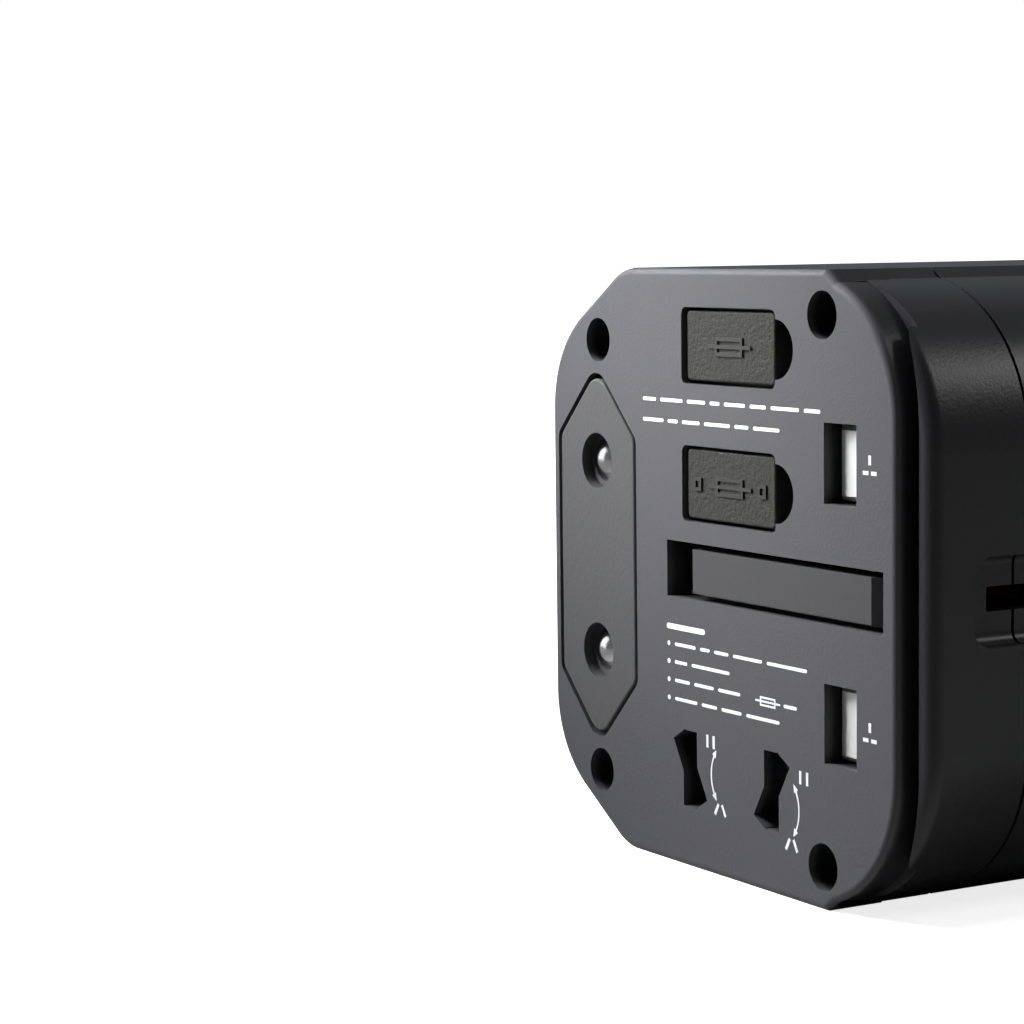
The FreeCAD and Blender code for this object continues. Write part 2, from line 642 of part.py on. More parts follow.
UK_RODS = (("uk_guide_x", "-uk_guide_z"), ("uk_guide_x", "uk_guide_z"))
US_RODS = (("us_knob_x", "-15.2"), ("us_knob_x", "-21.4"))


def make_uk_slide():
    blocks = []
    for side, sign in (("low", -1), ("top", 1)):
        ends = sorted((sign*7.0, sign*14.8))
        blocks.append(middle_block(f"uk_holder_{side}", ("15.2", "23.7"), ("-12", "-2.6"), ends))
    blocks.append(middle_block("uk_bridge", ("15.2", "25.4"), ("-6.0", "-2.6"), ("-7.2", "7.2")))
    blocks.append(middle_block("uk_stem", ("25.2", "25.6"), ("-6.6", "-2.6"), ("-0.9", "0.9")))
    pins = []
    for side, sign in (("neutral", -1), ("live", 1)):
        pin = middle_block(f"uk_{side}_bar", ("uk_pin_x - uk_pin_width/2", "uk_pin_x + uk_pin_width/2"),
                           (f"{PLUG_FACE} + uk_pin_sink", "-4.0"),
                           (f"{sign}*uk_pin_z - uk_pin_height/2", f"{sign}*uk_pin_z + uk_pin_height/2"))
        tip = chamfered(f"uk_{side}_tip", pin, (at_level(1, f"{PLUG_FACE} + uk_pin_sink"), "0.4"))
        pins.append(piece(f"uk_{side}_pin", tip))
    sockets = []
    for side, sign in (("neutral", -1), ("live", 1)):
        sockets.append(middle_block(f"uk_{side}_seat",
                                    ("uk_pin_x - uk_pin_width/2", "uk_pin_x + uk_pin_width/2"),
                                    ("-13", "-4.0"),
                                    (f"{sign}*uk_pin_z - uk_pin_height/2",
                                     f"{sign}*uk_pin_z + uk_pin_height/2")))
    runs = two_rods("uk_run", UK_RODS, "-13", "20", "guide_radius + slide_play")
    piece("uk_carrier", cut("uk_carrier_cut", join("uk_carrier_body", *blocks), *(sockets + runs)))
    make_knob("uk_slider_knob", "right", "-6.6")
    piece("uk_guide_rods", group("uk_guide_rod_pair", *two_rods("uk_rod", UK_RODS, INSIDE, "44.2",
                                                                "guide_radius")))


def make_knob(label, side, stem_start):
    """A thumb slider with grip ribs, keyed on the end of its carrier's stem."""
    nose = "knob_nose"
    low_y = f"{stem_start} - {nose}"
    high_y = f"{stem_start} + stem_length + {nose} + 1.8"
    foot = f"{SIDE_FLOOR} + 0.15"
    if side == "bottom":
        plate = block(label + "_plate", ("us_knob_x - knob_half", "us_knob_x + knob_half"), (low_y, high_y),
                      ("0.45", "1.6"))
        plate = rounded(label + "_round", plate, (along(2), "1.4"))
        neck = block(label + "_neck", ("us_knob_x - 0.9", "us_knob_x + 0.9"),
                     (stem_start, f"{stem_start} + stem_length"), ("1.5", "3.3"))
        ribs = [block(f"{label}_rib_{count}", ("us_knob_x - 2.4", "us_knob_x + 2.4"),
                      (f"{stem_start} + {1.2*count - 0.9}", f"{stem_start} + {1.2*count - 0.4}"),
                       ("0.1", "0.6"))
                for count in range(5)]
        return piece(label, join(label + "_whole", plate, neck, *ribs))
    flip = -1 if side == "left" else 1
    spans = []
    for low, high in ((foot, f"{SIDE_FLOOR} + 1.5"), (f"{SIDE_FLOOR} - 2.25", f"{SIDE_FLOOR} + 0.3"),
                      (f"{SIDE_FLOOR} + 1.3", f"{SIDE_FLOOR} + 1.9")):
        spans.append((low, high) if flip > 0 else (f"-({high})", f"-({low})"))
    plate = middle_block(label + "_plate", spans[0], (low_y, high_y), ("-knob_half", "knob_half"))
    plate = rounded(label + "_round", plate, (along(0), "1.4"))
    neck = middle_block(label + "_neck", spans[1], (stem_start, f"{stem_start} + stem_length"),
                        ("-0.9", "0.9"))
    ribs = [middle_block(f"{label}_rib_{count}", spans[2],
                         (f"{stem_start} + {1.2*count - 0.9}", f"{stem_start} + {1.2*count - 0.4}"),
                         ("-2.4", "2.4"))
            for count in range(5)]
    return piece(label, join(label + "_whole", plate, neck, *ribs))


make_uk_slide()

# ---------------------------------------------------------------------------------------------
# Folding earth pin in its cradle
# ---------------------------------------------------------------------------------------------

AXIS_Y = f"({PLUG_FACE} + earth_axis_depth)"


def make_earth_pin():
    half = "earth_bar_wide/2"
    bar = prism("earth_bar", "Z", (
        ("earth_bar_start", f"{AXIS_Y} - {half}"), ("earth_bar_end", f"{AXIS_Y} - {half}"),
        ("earth_tip", f"{AXIS_Y} - {half} + 1.5"), ("earth_tip", f"{AXIS_Y} + {half} - 1.5"),
        ("earth_bar_end", f"{AXIS_Y} + {half}"), ("earth_bar_start", f"{AXIS_Y} + {half}")),
        f"{MIDDLE} - earth_bar_half", "2*earth_bar_half")
    taper = lambda edge: at_level(0, "earth_tip")(edge) and not along(2)(edge)
    bar = chamfered("earth_bar_tip", bar, (taper, "0.5"))
    knuckle = rod("earth_knuckle", "Z", ("earth_axis_x", AXIS_Y, f"{MIDDLE} - earth_bar_half"),
                  "2*earth_bar_half", "2.9")
    bore = rod("earth_bore", "Z", ("earth_axis_x", AXIS_Y, "20"), "14", "1.05")
    return piece("earth_pin", cut("earth_pin_cut", join("earth_pin_body", bar, knuckle), bore))


def make_earth_cradle():
    outer = middle_block("cradle_outer", ("-8.2", "26.0"), (f"{INSIDE} + 0.1", "-25.2"), ("-3.6", "3.6"))
    space = middle_block("cradle_space", ("earth_left - 0.1", "25.45"), (INSIDE, "-25.75"),
                         ("-earth_slot_half + 0.3", "earth_slot_half - 0.3"))
    corner = middle_block("cradle_corner", ("25.2", "27"), ("-25.8", "-25"), ("-4", "4"))
    bore = rod("cradle_bore", "Z", ("earth_axis_x", AXIS_Y, "20"), "14", "1.0")
    piece("earth_pin_cradle", cut("cradle_cut", outer, space, corner, bore))
    piece("earth_hinge_pin", rod("earth_axle", "Z", ("earth_axis_x", AXIS_Y, f"{MIDDLE} - 3.5"), "7", "1.0"))


make_earth_pin()
make_earth_cradle()

# ---------------------------------------------------------------------------------------------
# Europlug block and the pins that slide inside it
# ---------------------------------------------------------------------------------------------

EU_PINS = (("eu_x", "-eu_pin_z"), ("eu_x", "eu_pin_z"))


def make_eu_block():
    outer = hexagon("eu_outer", PLUG_FACE, "eu_length")
    outer = rounded("eu_outer_round", outer, (at_level(1, PLUG_FACE), "0.25"))
    space = hexagon("eu_space", f"{PLUG_FACE} + eu_front_wall", "eu_length", "-eu_wall")
    rings = two_rods("eu_ring", EU_PINS, f"{PLUG_FACE} - 1", "2.1", "eu_ring_radius")
    runs = two_rods("eu_run", EU_PINS, f"{PLUG_FACE} - 1", "6", "eu_pin_radius + slide_play")
    piece("eu_block", cut("eu_block_cut", outer, space, *(rings + runs)))


def make_eu_pins():
    tip = f"({PLUG_FACE} + eu_pin_sink)"
    pins = []
    for index, (across, height) in enumerate(EU_PINS):
        nose = rod(f"eu_nose_{index}", "Y", (across, tip, f"{MIDDLE} + {height}"), "9.5", "eu_pin_radius")
        nose = rounded(f"eu_nose_round_{index}", nose, (at_level(1, tip), "1.9"))
        core = rod(f"eu_core_{index}", "Y", (across, f"{tip} + 9", f"{MIDDLE} + {height}"), "15.8", "1.5")
        pins.append(join(f"eu_pin_{index}", nose, core))
    piece("eu_pins", group("eu_pin_pair", *pins))
    outers = two_rods("eu_sleeve", EU_PINS, f"{tip} + 9.5", "12.3", "eu_pin_radius")
    inners = two_rods("eu_sleeve_bore", EU_PINS, f"{tip} + 9", "13.5", "1.5")
    sleeves = [cut(f"eu_sleeve_tube_{index}", outer, inner)
               for index, (outer, inner) in enumerate(zip(outers, inners))]
    piece("eu_pin_sleeves", group("eu_sleeve_pair", *sleeves))
    plate = prism("eu_carrier_plate", "Y", (
        ("-5.0", "-10.6"), ("-1.7", "-13.9"), ("1.7", "-13.9"), ("5.0", "-10.6"),
        ("5.0", "10.6"), ("1.7", "13.9"), ("-1.7", "13.9"), ("-5.0", "10.6")),
        "-11.8", "4.6", centre=("eu_x", MIDDLE))
    tail = middle_block("eu_tail", ("eu_x - 5.0", "eu_x - 2.4"), ("-7.4", "12.0"), ("-2.4", "2.4"))
    stem = middle_block("eu_stem", ("-25.6", "eu_x - 4.9"), ("8.0", "12.0"), ("-0.9", "0.9"))
    seats = two_rods("eu_seat", EU_PINS, "-13", "4.2", "1.5")
    piece("eu_pin_carrier", cut("eu_carrier_cut", join("eu_carrier_body", plate, tail, stem), *seats))
    make_knob("eu_slider_knob", "left", "8.0")


make_eu_block()
make_eu_pins()

# ---------------------------------------------------------------------------------------------
# US and Australian blades: two blades that turn in a carrier with its knob under the adapter
# ---------------------------------------------------------------------------------------------

def make_us_slide():
    plate = middle_block("us_plate", ("-7.7", "13.8"), ("-9.9", "-5.0"), ("-23.7", "-13.4"))
    tail = middle_block("us_tail", ("0.2", "5.9"), ("-5.4", "-1.6"), ("-23.7", "-17.0"))
    stem = block("us_stem", ("us_knob_x - 0.9", "us_knob_x + 0.9"), ("-5.6", "-1.6"), ("3.3", "4.4"))
    journals = [rod(f"us_journal_{side}", "Y", (f"us_{side}_x", "-12", f"{MIDDLE} - us_z"), "12",
                    "hub_neck + slide_play") for side in ("left", "right")]
    runs = two_rods("us_run", US_RODS, "-13", "20", "guide_radius + slide_play")
    piece("us_carrier", cut("us_carrier_cut", join("us_carrier_body", plate, tail, stem), *(journals + runs)))
    make_knob("us_slider_knob", "bottom", "-5.6")
    piece("us_guide_rods", group("us_guide_rod_pair", *two_rods("us_rod", US_RODS, INSIDE, "44.2",
                                                                "guide_radius")))
    for side in ("left", "right"):
        make_blade(side)


def make_blade(side):
    centre = (f"us_{side}_x", f"{MIDDLE} - us_z")
    corners = (("-blade_thick/2", "-blade_wide/2"), ("blade_thick/2", "-blade_wide/2"),
               ("blade_thick/2", "blade_wide/2"), ("-blade_thick/2", "blade_wide/2"))
    tip = f"({PLUG_FACE} + 3.4)"
    blade = prism(f"blade_{side}", "Y", corners, tip, f"-6.2 - ({tip})", centre=centre)
    blade = chamfered(f"blade_tip_{side}", blade, (at_level(1, tip), "0.45"))
    hole = rod(f"blade_eye_{side}", "X", (f"{centre[0]} - 3", f"{tip} + 4.2", centre[1]), "6", "1.6")
    piece(f"us_blade_{side}", cut(f"us_blade_{side}_cut", blade, hole))
    disc = rod(f"hub_disc_{side}", "Y", (centre[0], "-11.8", centre[1]), "1.8", "hub_radius")
    neck = rod(f"hub_neck_{side}", "Y", (centre[0], "-11", centre[1]), "6.4", "hub_neck")
    seat = prism(f"hub_seat_{side}", "Y", corners, "-13", "6.8", centre=centre)
    piece(f"blade_hub_{side}", cut(f"blade_hub_{side}_cut", join(f"hub_body_{side}", disc, neck), seat))


make_us_slide()

# ---------------------------------------------------------------------------------------------
# Fuse drawers, their sleeve and the fuses
# ---------------------------------------------------------------------------------------------

def make_fuse_drawer(label, low, high):
    centre = f"(({low}) + ({high}))/2"
    tag = label.split("_")[0]
    door = middle_block(f"{tag}_door", ("fuse_x - door_half", "fuse_x + door_half"),
                        (f"{PLUG_FACE} + 0.3", f"{INSIDE} - 0.1"),
                        (f"{centre} - door_half_height", f"{centre} + door_half_height"))
    door = rounded(f"{tag}_door_round", door, (along(1), "0.5"), (at_level(1, f"{PLUG_FACE} + 0.3"), "0.2"))
    tray = middle_block(f"{tag}_tray", ("fuse_x - tray_half", "fuse_x + tray_half"),
                        (f"{INSIDE} - 0.3", "-9.4"), (f"{centre} - 3.1", f"{centre} + 3.1"))
    space = middle_block(f"{tag}_space", ("fuse_x - 2.7", "fuse_x + 2.7"), (f"{INSIDE} + 0.6", "-10.1"),
                         (f"{centre} - 2.6", f"{centre} + 4"))
    piece(f"{label}_drawer", cut(f"{tag}_drawer_cut", join(f"{tag}_drawer_body", door, tray), space))
    start = f"({INSIDE} + 0.7)"
    axis = (("fuse_x", f"{centre} + 0.0"),)
    glass = two_rods(f"{tag}_tube", axis, f"{start} + 4.9", "10.4", "cartridge_radius - 0.1")[0]
    hollow = two_rods(f"{tag}_tube_bore", axis, f"{start} + 4", "12.4", "cartridge_radius - 0.5")[0]
    piece(f"{label}_glass", cut(f"{tag}_glass_cut", glass, hollow))
    caps = two_rods(f"{tag}_cap_a", axis, start, "4.9", "cartridge_radius")
    caps += two_rods(f"{tag}_cap_b", axis, f"{start} + 15.3", "4.9", "cartridge_radius")
    wire = two_rods(f"{tag}_wire", axis, f"{start} + 4.8", "10.6", "0.15")[0]
    piece(f"{label}_caps", join(f"{tag}_cap_pair", *caps, wire))


def make_fuse_sleeve():
    outer = middle_block("sleeve_outer", ("-1.9", "7.8"), (f"{INSIDE} + 0.1", "-8.4"), ("3.9", "24.1"))
    flange = middle_block("sleeve_flange", ("-5.4", "13.4"), (f"{INSIDE} + 0.1", f"{INSIDE} + 1.1"),
                          ("3.9", "24.1"))
    outer = join("sleeve_body", outer, flange)
    tunnels = []
    for name, low, high in (("main", "fuse_low", "fuse_high"), ("spare", "spare_low", "spare_high")):
        centre = f"({low} + {high})/2"
        tunnels.append(middle_block(f"{name}_tunnel", ("fuse_x - tray_half - 0.12", "fuse_x + tray_half + 0.12"),
                                    (f"{INSIDE} - 1", "-9.2"), (f"{centre} - 3.2", f"{centre} + 3.2")))
    piece("fuse_sleeve", cut("fuse_sleeve_cut", outer, *tunnels))
    for name, start in (("front", "-30.2"), ("rear", "-14.6")):
        leaf = middle_block(f"leaf_{name}", ("7.8", "8.2"), (start, f"{start} + 4"), ("18.0", "23.0"))
        foot = middle_block(f"leaf_foot_{name}", ("7.8", "9.4"), (start, f"{start} + 0.4"), ("18.0", "23.0"))
        piece(f"fuse_contact_{name}", join(f"fuse_contact_{name}_body", leaf, foot))


make_fuse_drawer("fuse", "fuse_low", "fuse_high")
make_fuse_drawer("spare_fuse", "spare_low", "spare_high")
make_fuse_sleeve()

# ---------------------------------------------------------------------------------------------
# Bulkhead, power board, bus bars and the socket's contacts and shutter
# ---------------------------------------------------------------------------------------------

def make_bulkhead():
    plate = middle_block("bulkhead_square", ("-19.5", "26.0"), ("12.7", "14.2"), ("-24.2", "8.0"))
    plate = rounded("bulkhead_plate", plate, (beyond(25, 27, 20), "11"), (beyond(-21, -19, 20), "4"))
    seats = two_rods("uk_rod_seat", UK_RODS, "12", "3", "guide_radius")
    seats += two_rods("us_rod_seat", US_RODS, "12", "3", "guide_radius")
    piece("bulkhead", cut("bulkhead_cut", plate, *seats))


def make_power_board():
    board = middle_block("board_plate", ("-18", "14.0"), ("11.0", "12.6"), ("-12.8", "7.6"))
    piece("power_board", board)
    yoke = middle_block("core_yoke", ("-15", "1"), ("4.8", "9.2"), ("-8", "7.4"))
    windows = [middle_block("core_window_left", ("-12.4", "-9.4"), ("4", "12"), ("-5.4", "4.8")),
               middle_block("core_window_right", ("-4.6", "-1.6"), ("4", "12"), ("-5.4", "4.8"))]
    piece("transformer_core", cut("transformer_core_cut", yoke, *windows))
    winding = middle_block("winding_outer", ("-12.3", "-1.7"), ("3.2", "10.8"), ("-5.2", "4.6"))
    limb = middle_block("winding_limb", ("-9.42", "-4.58"), ("4.78", "9.22"), ("-9", "9"))
    piece("transformer_winding", cut("winding_cut", winding, limb))
    cans = two_rods("can", (("6.6", "-3.2"), ("6.6", "3.6")), "1.4", "9.6", "3.1")
    cans = [rounded(f"can_round_{index}", can, (at_level(1, "1.4"), "0.4")) for index, can in enumerate(cans)]
    piece("filter_capacitors", group("capacitor_pair", *cans))
    chips = [middle_block("chip_a", ("10.6", "13.6"), ("9.6", "11.0"), ("-4.4", "0.2")),
             middle_block("chip_b", ("10.6", "13.6"), ("9.6", "11.0"), ("1.4", "6.0"))]
    piece("controller_chips", group("chip_pair", *chips))


def make_bus_bars():
    for name, low, high in (("live", "-9.4", "-6.4"), ("neutral", "6.4", "9.4")):
        flat = middle_block(f"{name}_flat", (low, high), ("-8.2", "15.4"), ("9.0", "9.8"))
        leg = middle_block(f"{name}_leg", (low, high), ("14.6", "15.4"), ("6.0", "9.8"))
        piece(f"{name}_bus_bar", join(f"{name}_bus_bar_body", flat, leg))


def make_contacts():
    for name, sign in (("live", -1), ("neutral", 1)):
        span = sorted((sign*5.0, sign*15.2))
        strap = middle_block(f"{name}_strap", span, ("15.4", "16.0"), ("-12.4", "7.6"))
        leaves = [strap]
        for index, height in enumerate(("-11.2", "-6.5", "-1.2", "4.6")):
            leaf = middle_block(f"{name}_leaf_{index}", span, ("15.9", "27.5"), (height, f"{height} + 0.6"))
            leaves.append(leaf)
        piece(f"{name}_contact", join(f"{name}_contact_body", *leaves))


def make_shutter():
    plate = middle_block("shutter_plate", ("-15.6", "15.6"), ("28.9", "30.6"), ("-12.4", "-4.6"))
    lips = [middle_block(f"shutter_foot_{side}", (low, high), ("28.9", "30.6"), ("-13.4", "-12.2"))
            for side, low, high in (("left", "-12", "-8"), ("right", "8", "12"))]
    piece("socket_shutter", join("shutter_body", plate, *lips))
    springs = []
    for side, across in (("left", -10.0), ("right", 10.0)):
        floor = value(MIDDLE) - 24.4
        helix = Part.makeHelix(2.1, 10.6, 0.8)
        section = Part.Wire([Part.makeCircle(0.18, FreeCAD.Vector(0.8, 0, 0), FreeCAD.Vector(0, 1, 0.42))])
        coil = helix.makePipeShell([section], True, True)
        coil.translate(FreeCAD.Vector(across, 29.75, floor))
        springs.append(coil)
    spring_pair = doc.addObject("Part::Feature", "shutter_spring_pair")
    spring_pair.Shape = Part.makeCompound(springs)
    piece("shutter_springs", spring_pair)


make_bulkhead()
make_power_board()
make_bus_bars()
make_contacts()
make_shutter()

# ---------------------------------------------------------------------------------------------
# USB board with its ports, and the indicator
# ---------------------------------------------------------------------------------------------

def make_usb():
    board = block("usb_plate", ("-21", "19"), ("11.6", "26.6"), ("usb_board_z", "usb_board_z + 1.6"))
    piece("usb_board", board)
    low = "usb_board_z + 1.6"
    high = "body_height - 0.5"
    shells = []
    tongues = []
    for index in range(3):
        outer = usb_block(f"usb_shell_{index}", index, "0", low, high)
        inner = usb_block(f"usb_bore_{index}", index, "-0.35", f"{low} + 1.2", f"{high} + 1")
        shells.append(cut(f"usb_tube_{index}", outer, inner))
        across = f"usb_first_x + {index}*usb_pitch"
        tongues.append(block(f"usb_tongue_{index}", (f"{across} - 2.1", f"{across} - 0.2"),
                             ("usb_y - 5.6", "usb_y + 5.6"), (f"{low} + 1.2", f"{high} - 0.8")))
    piece("usb_a_shells", group("usb_shell_set", *shells))
    piece("usb_a_tongues", group("usb_tongue_set", *tongues))
    outer = usb_block("usb_c_outer", 3, "0", low, high)
    inner = rounded("usb_c_bore", block("usb_c_bore_square",
                    ("usb_first_x + 3*usb_pitch - 1.3", "usb_first_x + 3*usb_pitch + 1.3"),
                    ("usb_y - 4.15", "usb_y + 4.15"), (f"{low} + 1.2", f"{high} + 1")), (along(2), "1.25"))
    piece("usb_c_shell", cut("usb_c_tube", outer, inner))
    across = "usb_first_x + 3*usb_pitch"
    piece("usb_c_tongue", block("usb_c_tongue_bar", (f"{across} - 0.35", f"{across} + 0.35"),
                                ("usb_y - 3.3", "usb_y + 3.3"), (f"{low} + 1.2", f"{high} - 1.0")))


def make_indicator():
    pipe = rod("indicator_pipe", "Y", ("16.5", "26.2", f"{MIDDLE} + 16.5"), "7.3", "1.25")
    piece("light_pipe", rounded("indicator_dome", pipe, (at_level(1, "33.5"), "0.5")))
    chip = middle_block("led_chip", ("15.3", "17.7"), ("24.8", "26.0"), ("13.2", "17.7"))
    piece("status_led", chip)


make_usb()
make_indicator()

# ---------------------------------------------------------------------------------------------
# Write the sub-parts
# ---------------------------------------------------------------------------------------------

doc.recompute()
faulty = [obj.Name for obj in doc.Objects if "Invalid" in obj.State or "Error" in obj.State]
if faulty:
    raise SystemExit(f"failed objects: {faulty}")
for obj in pieces:
    if obj.Shape.isNull() or not obj.Shape.isValid():
        raise SystemExit(f"{obj.Label} has no valid shape")

os.makedirs("parts", exist_ok=True)
for obj in pieces:
    obj.Shape.exportStep(f"parts/{obj.Label}.step")
    print(obj.Label, len(obj.Shape.Solids), round(obj.Shape.Volume, 1))
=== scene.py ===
import math

import bmesh
import bpy
from mathutils import Matrix, Vector


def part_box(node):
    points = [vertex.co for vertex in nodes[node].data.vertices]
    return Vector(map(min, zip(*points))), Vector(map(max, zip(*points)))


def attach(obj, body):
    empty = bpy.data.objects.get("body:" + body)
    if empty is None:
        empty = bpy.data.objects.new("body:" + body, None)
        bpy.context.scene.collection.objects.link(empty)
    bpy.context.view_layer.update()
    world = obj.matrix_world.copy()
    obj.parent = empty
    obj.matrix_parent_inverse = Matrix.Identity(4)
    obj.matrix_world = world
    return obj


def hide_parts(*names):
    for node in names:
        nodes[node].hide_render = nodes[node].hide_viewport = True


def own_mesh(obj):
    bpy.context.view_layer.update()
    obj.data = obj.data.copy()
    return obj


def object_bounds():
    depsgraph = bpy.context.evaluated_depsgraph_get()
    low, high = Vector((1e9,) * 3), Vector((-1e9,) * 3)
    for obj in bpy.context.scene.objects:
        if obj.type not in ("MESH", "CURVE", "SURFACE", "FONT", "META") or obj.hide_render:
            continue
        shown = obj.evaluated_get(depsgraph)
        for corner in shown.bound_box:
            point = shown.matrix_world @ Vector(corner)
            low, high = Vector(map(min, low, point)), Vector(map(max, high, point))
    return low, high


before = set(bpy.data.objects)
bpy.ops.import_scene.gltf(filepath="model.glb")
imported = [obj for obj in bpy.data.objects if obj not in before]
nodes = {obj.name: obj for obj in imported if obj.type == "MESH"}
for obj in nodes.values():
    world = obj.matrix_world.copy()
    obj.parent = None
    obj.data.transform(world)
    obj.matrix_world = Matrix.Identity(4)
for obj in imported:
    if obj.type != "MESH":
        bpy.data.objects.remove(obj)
cad_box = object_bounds()
mm = 0.001

# ---------------------------------------------------------------------------------------------
# Studio: a plain white sweep under soft light. A close key panel and a large soft one stand at
# the front left of the plug face, and two more light the socket side. The floor and the air look
# white to the camera and dim to the adapter, so its dark sides stay dark.
# ---------------------------------------------------------------------------------------------

scene = bpy.context.scene
scene.view_settings.view_transform = "Standard"

world = bpy.data.worlds.new("studio_air")
world.use_nodes = True
scene.world = world
air = world.node_tree
air.nodes["Background"].inputs["Color"].default_value = (0.93, 0.96, 1.0, 1.0)
air.nodes["Background"].inputs["Strength"].default_value = 0.12
white_air = air.nodes.new("ShaderNodeBackground")
white_air.inputs["Color"].default_value = (1, 1, 1, 1)
seen_air = air.nodes.new("ShaderNodeLightPath")
air_choice = air.nodes.new("ShaderNodeMixShader")
air.links.new(seen_air.outputs["Is Camera Ray"], air_choice.inputs["Fac"])
air.links.new(air.nodes["Background"].outputs[0], air_choice.inputs[1])
air.links.new(white_air.outputs[0], air_choice.inputs[2])
air.links.new(air_choice.outputs[0], air.nodes["World Output"].inputs["Surface"])

floor_mesh = bpy.data.meshes.new("floor")
floor_mesh.from_pydata([(-4, -4, 0), (4, -4, 0), (4, 4, 0), (-4, 4, 0)], [], [(0, 1, 2, 3)])
floor = bpy.data.objects.new("floor", floor_mesh)
scene.collection.objects.link(floor)
floor_paint = bpy.data.materials.new("floor_paint")
floor_paint.use_nodes = True
floor_tree = floor_paint.node_tree
floor_white = floor_tree.nodes["Principled BSDF"]
floor_white.inputs["Base Color"].default_value = (0.9, 0.9, 0.9, 1)
floor_white.inputs["Roughness"].default_value = 0.9
floor_white.inputs["Specular IOR Level"].default_value = 0.0
floor_white.inputs["Emission Color"].default_value = (1, 1, 1, 1)
floor_white.inputs["Emission Strength"].default_value = 0.8
floor_grey = floor_tree.nodes.new("ShaderNodeBsdfDiffuse")
floor_grey.inputs["Color"].default_value = (0.22, 0.22, 0.22, 1)
floor_seen = floor_tree.nodes.new("ShaderNodeLightPath")
floor_choice = floor_tree.nodes.new("ShaderNodeMixShader")
floor_tree.links.new(floor_seen.outputs["Is Camera Ray"], floor_choice.inputs["Fac"])
floor_tree.links.new(floor_grey.outputs[0], floor_choice.inputs[1])
floor_tree.links.new(floor_white.outputs[0], floor_choice.inputs[2])
floor_tree.links.new(floor_choice.outputs[0], floor_tree.nodes["Material Output"].inputs["Surface"])
floor_mesh.materials.append(floor_paint)


def softbox(name, place, aim, size, power, tint=(1.0, 1.0, 1.0)):
    """A rectangular light panel that faces the point it is aimed at."""
    light = bpy.data.lights.new(name, "AREA")
    light.shape = "RECTANGLE"
    light.size, light.size_y = size
    light.energy = power
    light.color = tint
    panel = bpy.data.objects.new(name, light)
    panel.location = place
    panel.rotation_euler = (Vector(aim) - Vector(place)).to_track_quat("-Z", "Y").to_euler()
    panel.visible_camera = False
    scene.collection.objects.link(panel)
    return panel


adapter_middle = (0, 0, 0.027)
key_panel = softbox("key_panel", (-0.09, -0.11, 0.14), (-0.02, -0.034, 0.068), (0.08, 0.08), 0.165)
key_panel.data.spread = math.radians(38)
softbox("front_panel", (-0.55, -0.45, 0.24), adapter_middle, (0.6, 0.6), 1.2)
softbox("corner_panel", (0.43, 0.58, 0.56), adapter_middle, (0.10, 0.30), 1.0)
back_panel = softbox("back_panel", (-0.35, 0.75, 0.45), adapter_middle, (0.5, 0.5), 3.5)
floor_wash = softbox("floor_wash", (-1.7, 1.0, 2.6), (-1.7, 1.0, 0), (4.5, 4.5), 130.0)
for panel in (key_panel, back_panel, floor_wash):
    panel.visible_glossy = False

camera_place = (0.21127, -0.17755, 0.05789)
camera_heading, camera_tilt, camera_roll = 59.77, -5.53, -0.73
camera_data = bpy.data.cameras.new("camera")
camera_data.sensor_width = 36.0
camera_data.lens = 100.5
camera_data.clip_start = 0.01
camera = bpy.data.objects.new("camera", camera_data)
camera.matrix_world = (
    Matrix.Translation(camera_place)
    @ Matrix.Rotation(math.radians(camera_heading), 4, "Z")
    @ Matrix.Rotation(math.radians(90 + camera_tilt), 4, "X")
    @ Matrix.Rotation(math.radians(camera_roll), 4, "Z")
)
scene.collection.objects.link(camera)
scene.camera = camera

# ---------------------------------------------------------------------------------------------
# Casing: rear cover with the plug face, main shell and front cover, moulded in black
# polycarbonate. The mould is spark eroded, so the faces carry a fine even grain, a little
# coarser on the plug face. Four screws hold the covers on the shell.
# ---------------------------------------------------------------------------------------------


def new_group(name, inputs, outputs):
    """An empty shader node group with float inputs (name, default) and named outputs."""
    group = bpy.data.node_groups.new(name, "ShaderNodeTree")
    for label, default in inputs:
        socket = group.interface.new_socket(label, in_out="INPUT", socket_type="NodeSocketFloat")
        socket.default_value = default
    for label, kind in outputs:
        group.interface.new_socket(label, in_out="OUTPUT", socket_type=kind)
    return group, group.nodes.new("NodeGroupInput"), group.nodes.new("NodeGroupOutput")


def math_step(group, kind, first, second):
    """One Math node; its inputs are sockets or numbers."""
    step = group.nodes.new("ShaderNodeMath")
    step.operation = kind
    for slot, value in enumerate((first, second)):
        if isinstance(value, (int, float)):
            step.inputs[slot].default_value = value
        else:
            group.links.new(value, step.inputs[slot])
    return step.outputs[0]


grain, grain_in, grain_out = new_group(
    "mould_grain",
    [("Cells per metre", 3200.0), ("Depth", 1.0), ("Gloss spread", 0.08), ("Roughness", 0.5)],
    [("Height", "NodeSocketFloat"), ("Roughness", "NodeSocketFloat")],
)
grain_place = grain.nodes.new("ShaderNodeTexCoord")
grain_fine = grain.nodes.new("ShaderNodeTexNoise")
grain_fine.inputs["Detail"].default_value = 3.0
grain_fine.inputs["Roughness"].default_value = 0.6
grain.links.new(grain_place.outputs["Object"], grain_fine.inputs["Vector"])
grain.links.new(grain_in.outputs["Cells per metre"], grain_fine.inputs["Scale"])
grain_wide = grain.nodes.new("ShaderNodeTexNoise")
grain_wide.inputs["Scale"].default_value = 90.0
grain_wide.inputs["Detail"].default_value = 4.0
grain.links.new(grain_place.outputs["Object"], grain_wide.inputs["Vector"])
grain.links.new(math_step(grain, "MULTIPLY", grain_fine.outputs["Fac"], grain_in.outputs["Depth"]),
                grain_out.inputs["Height"])
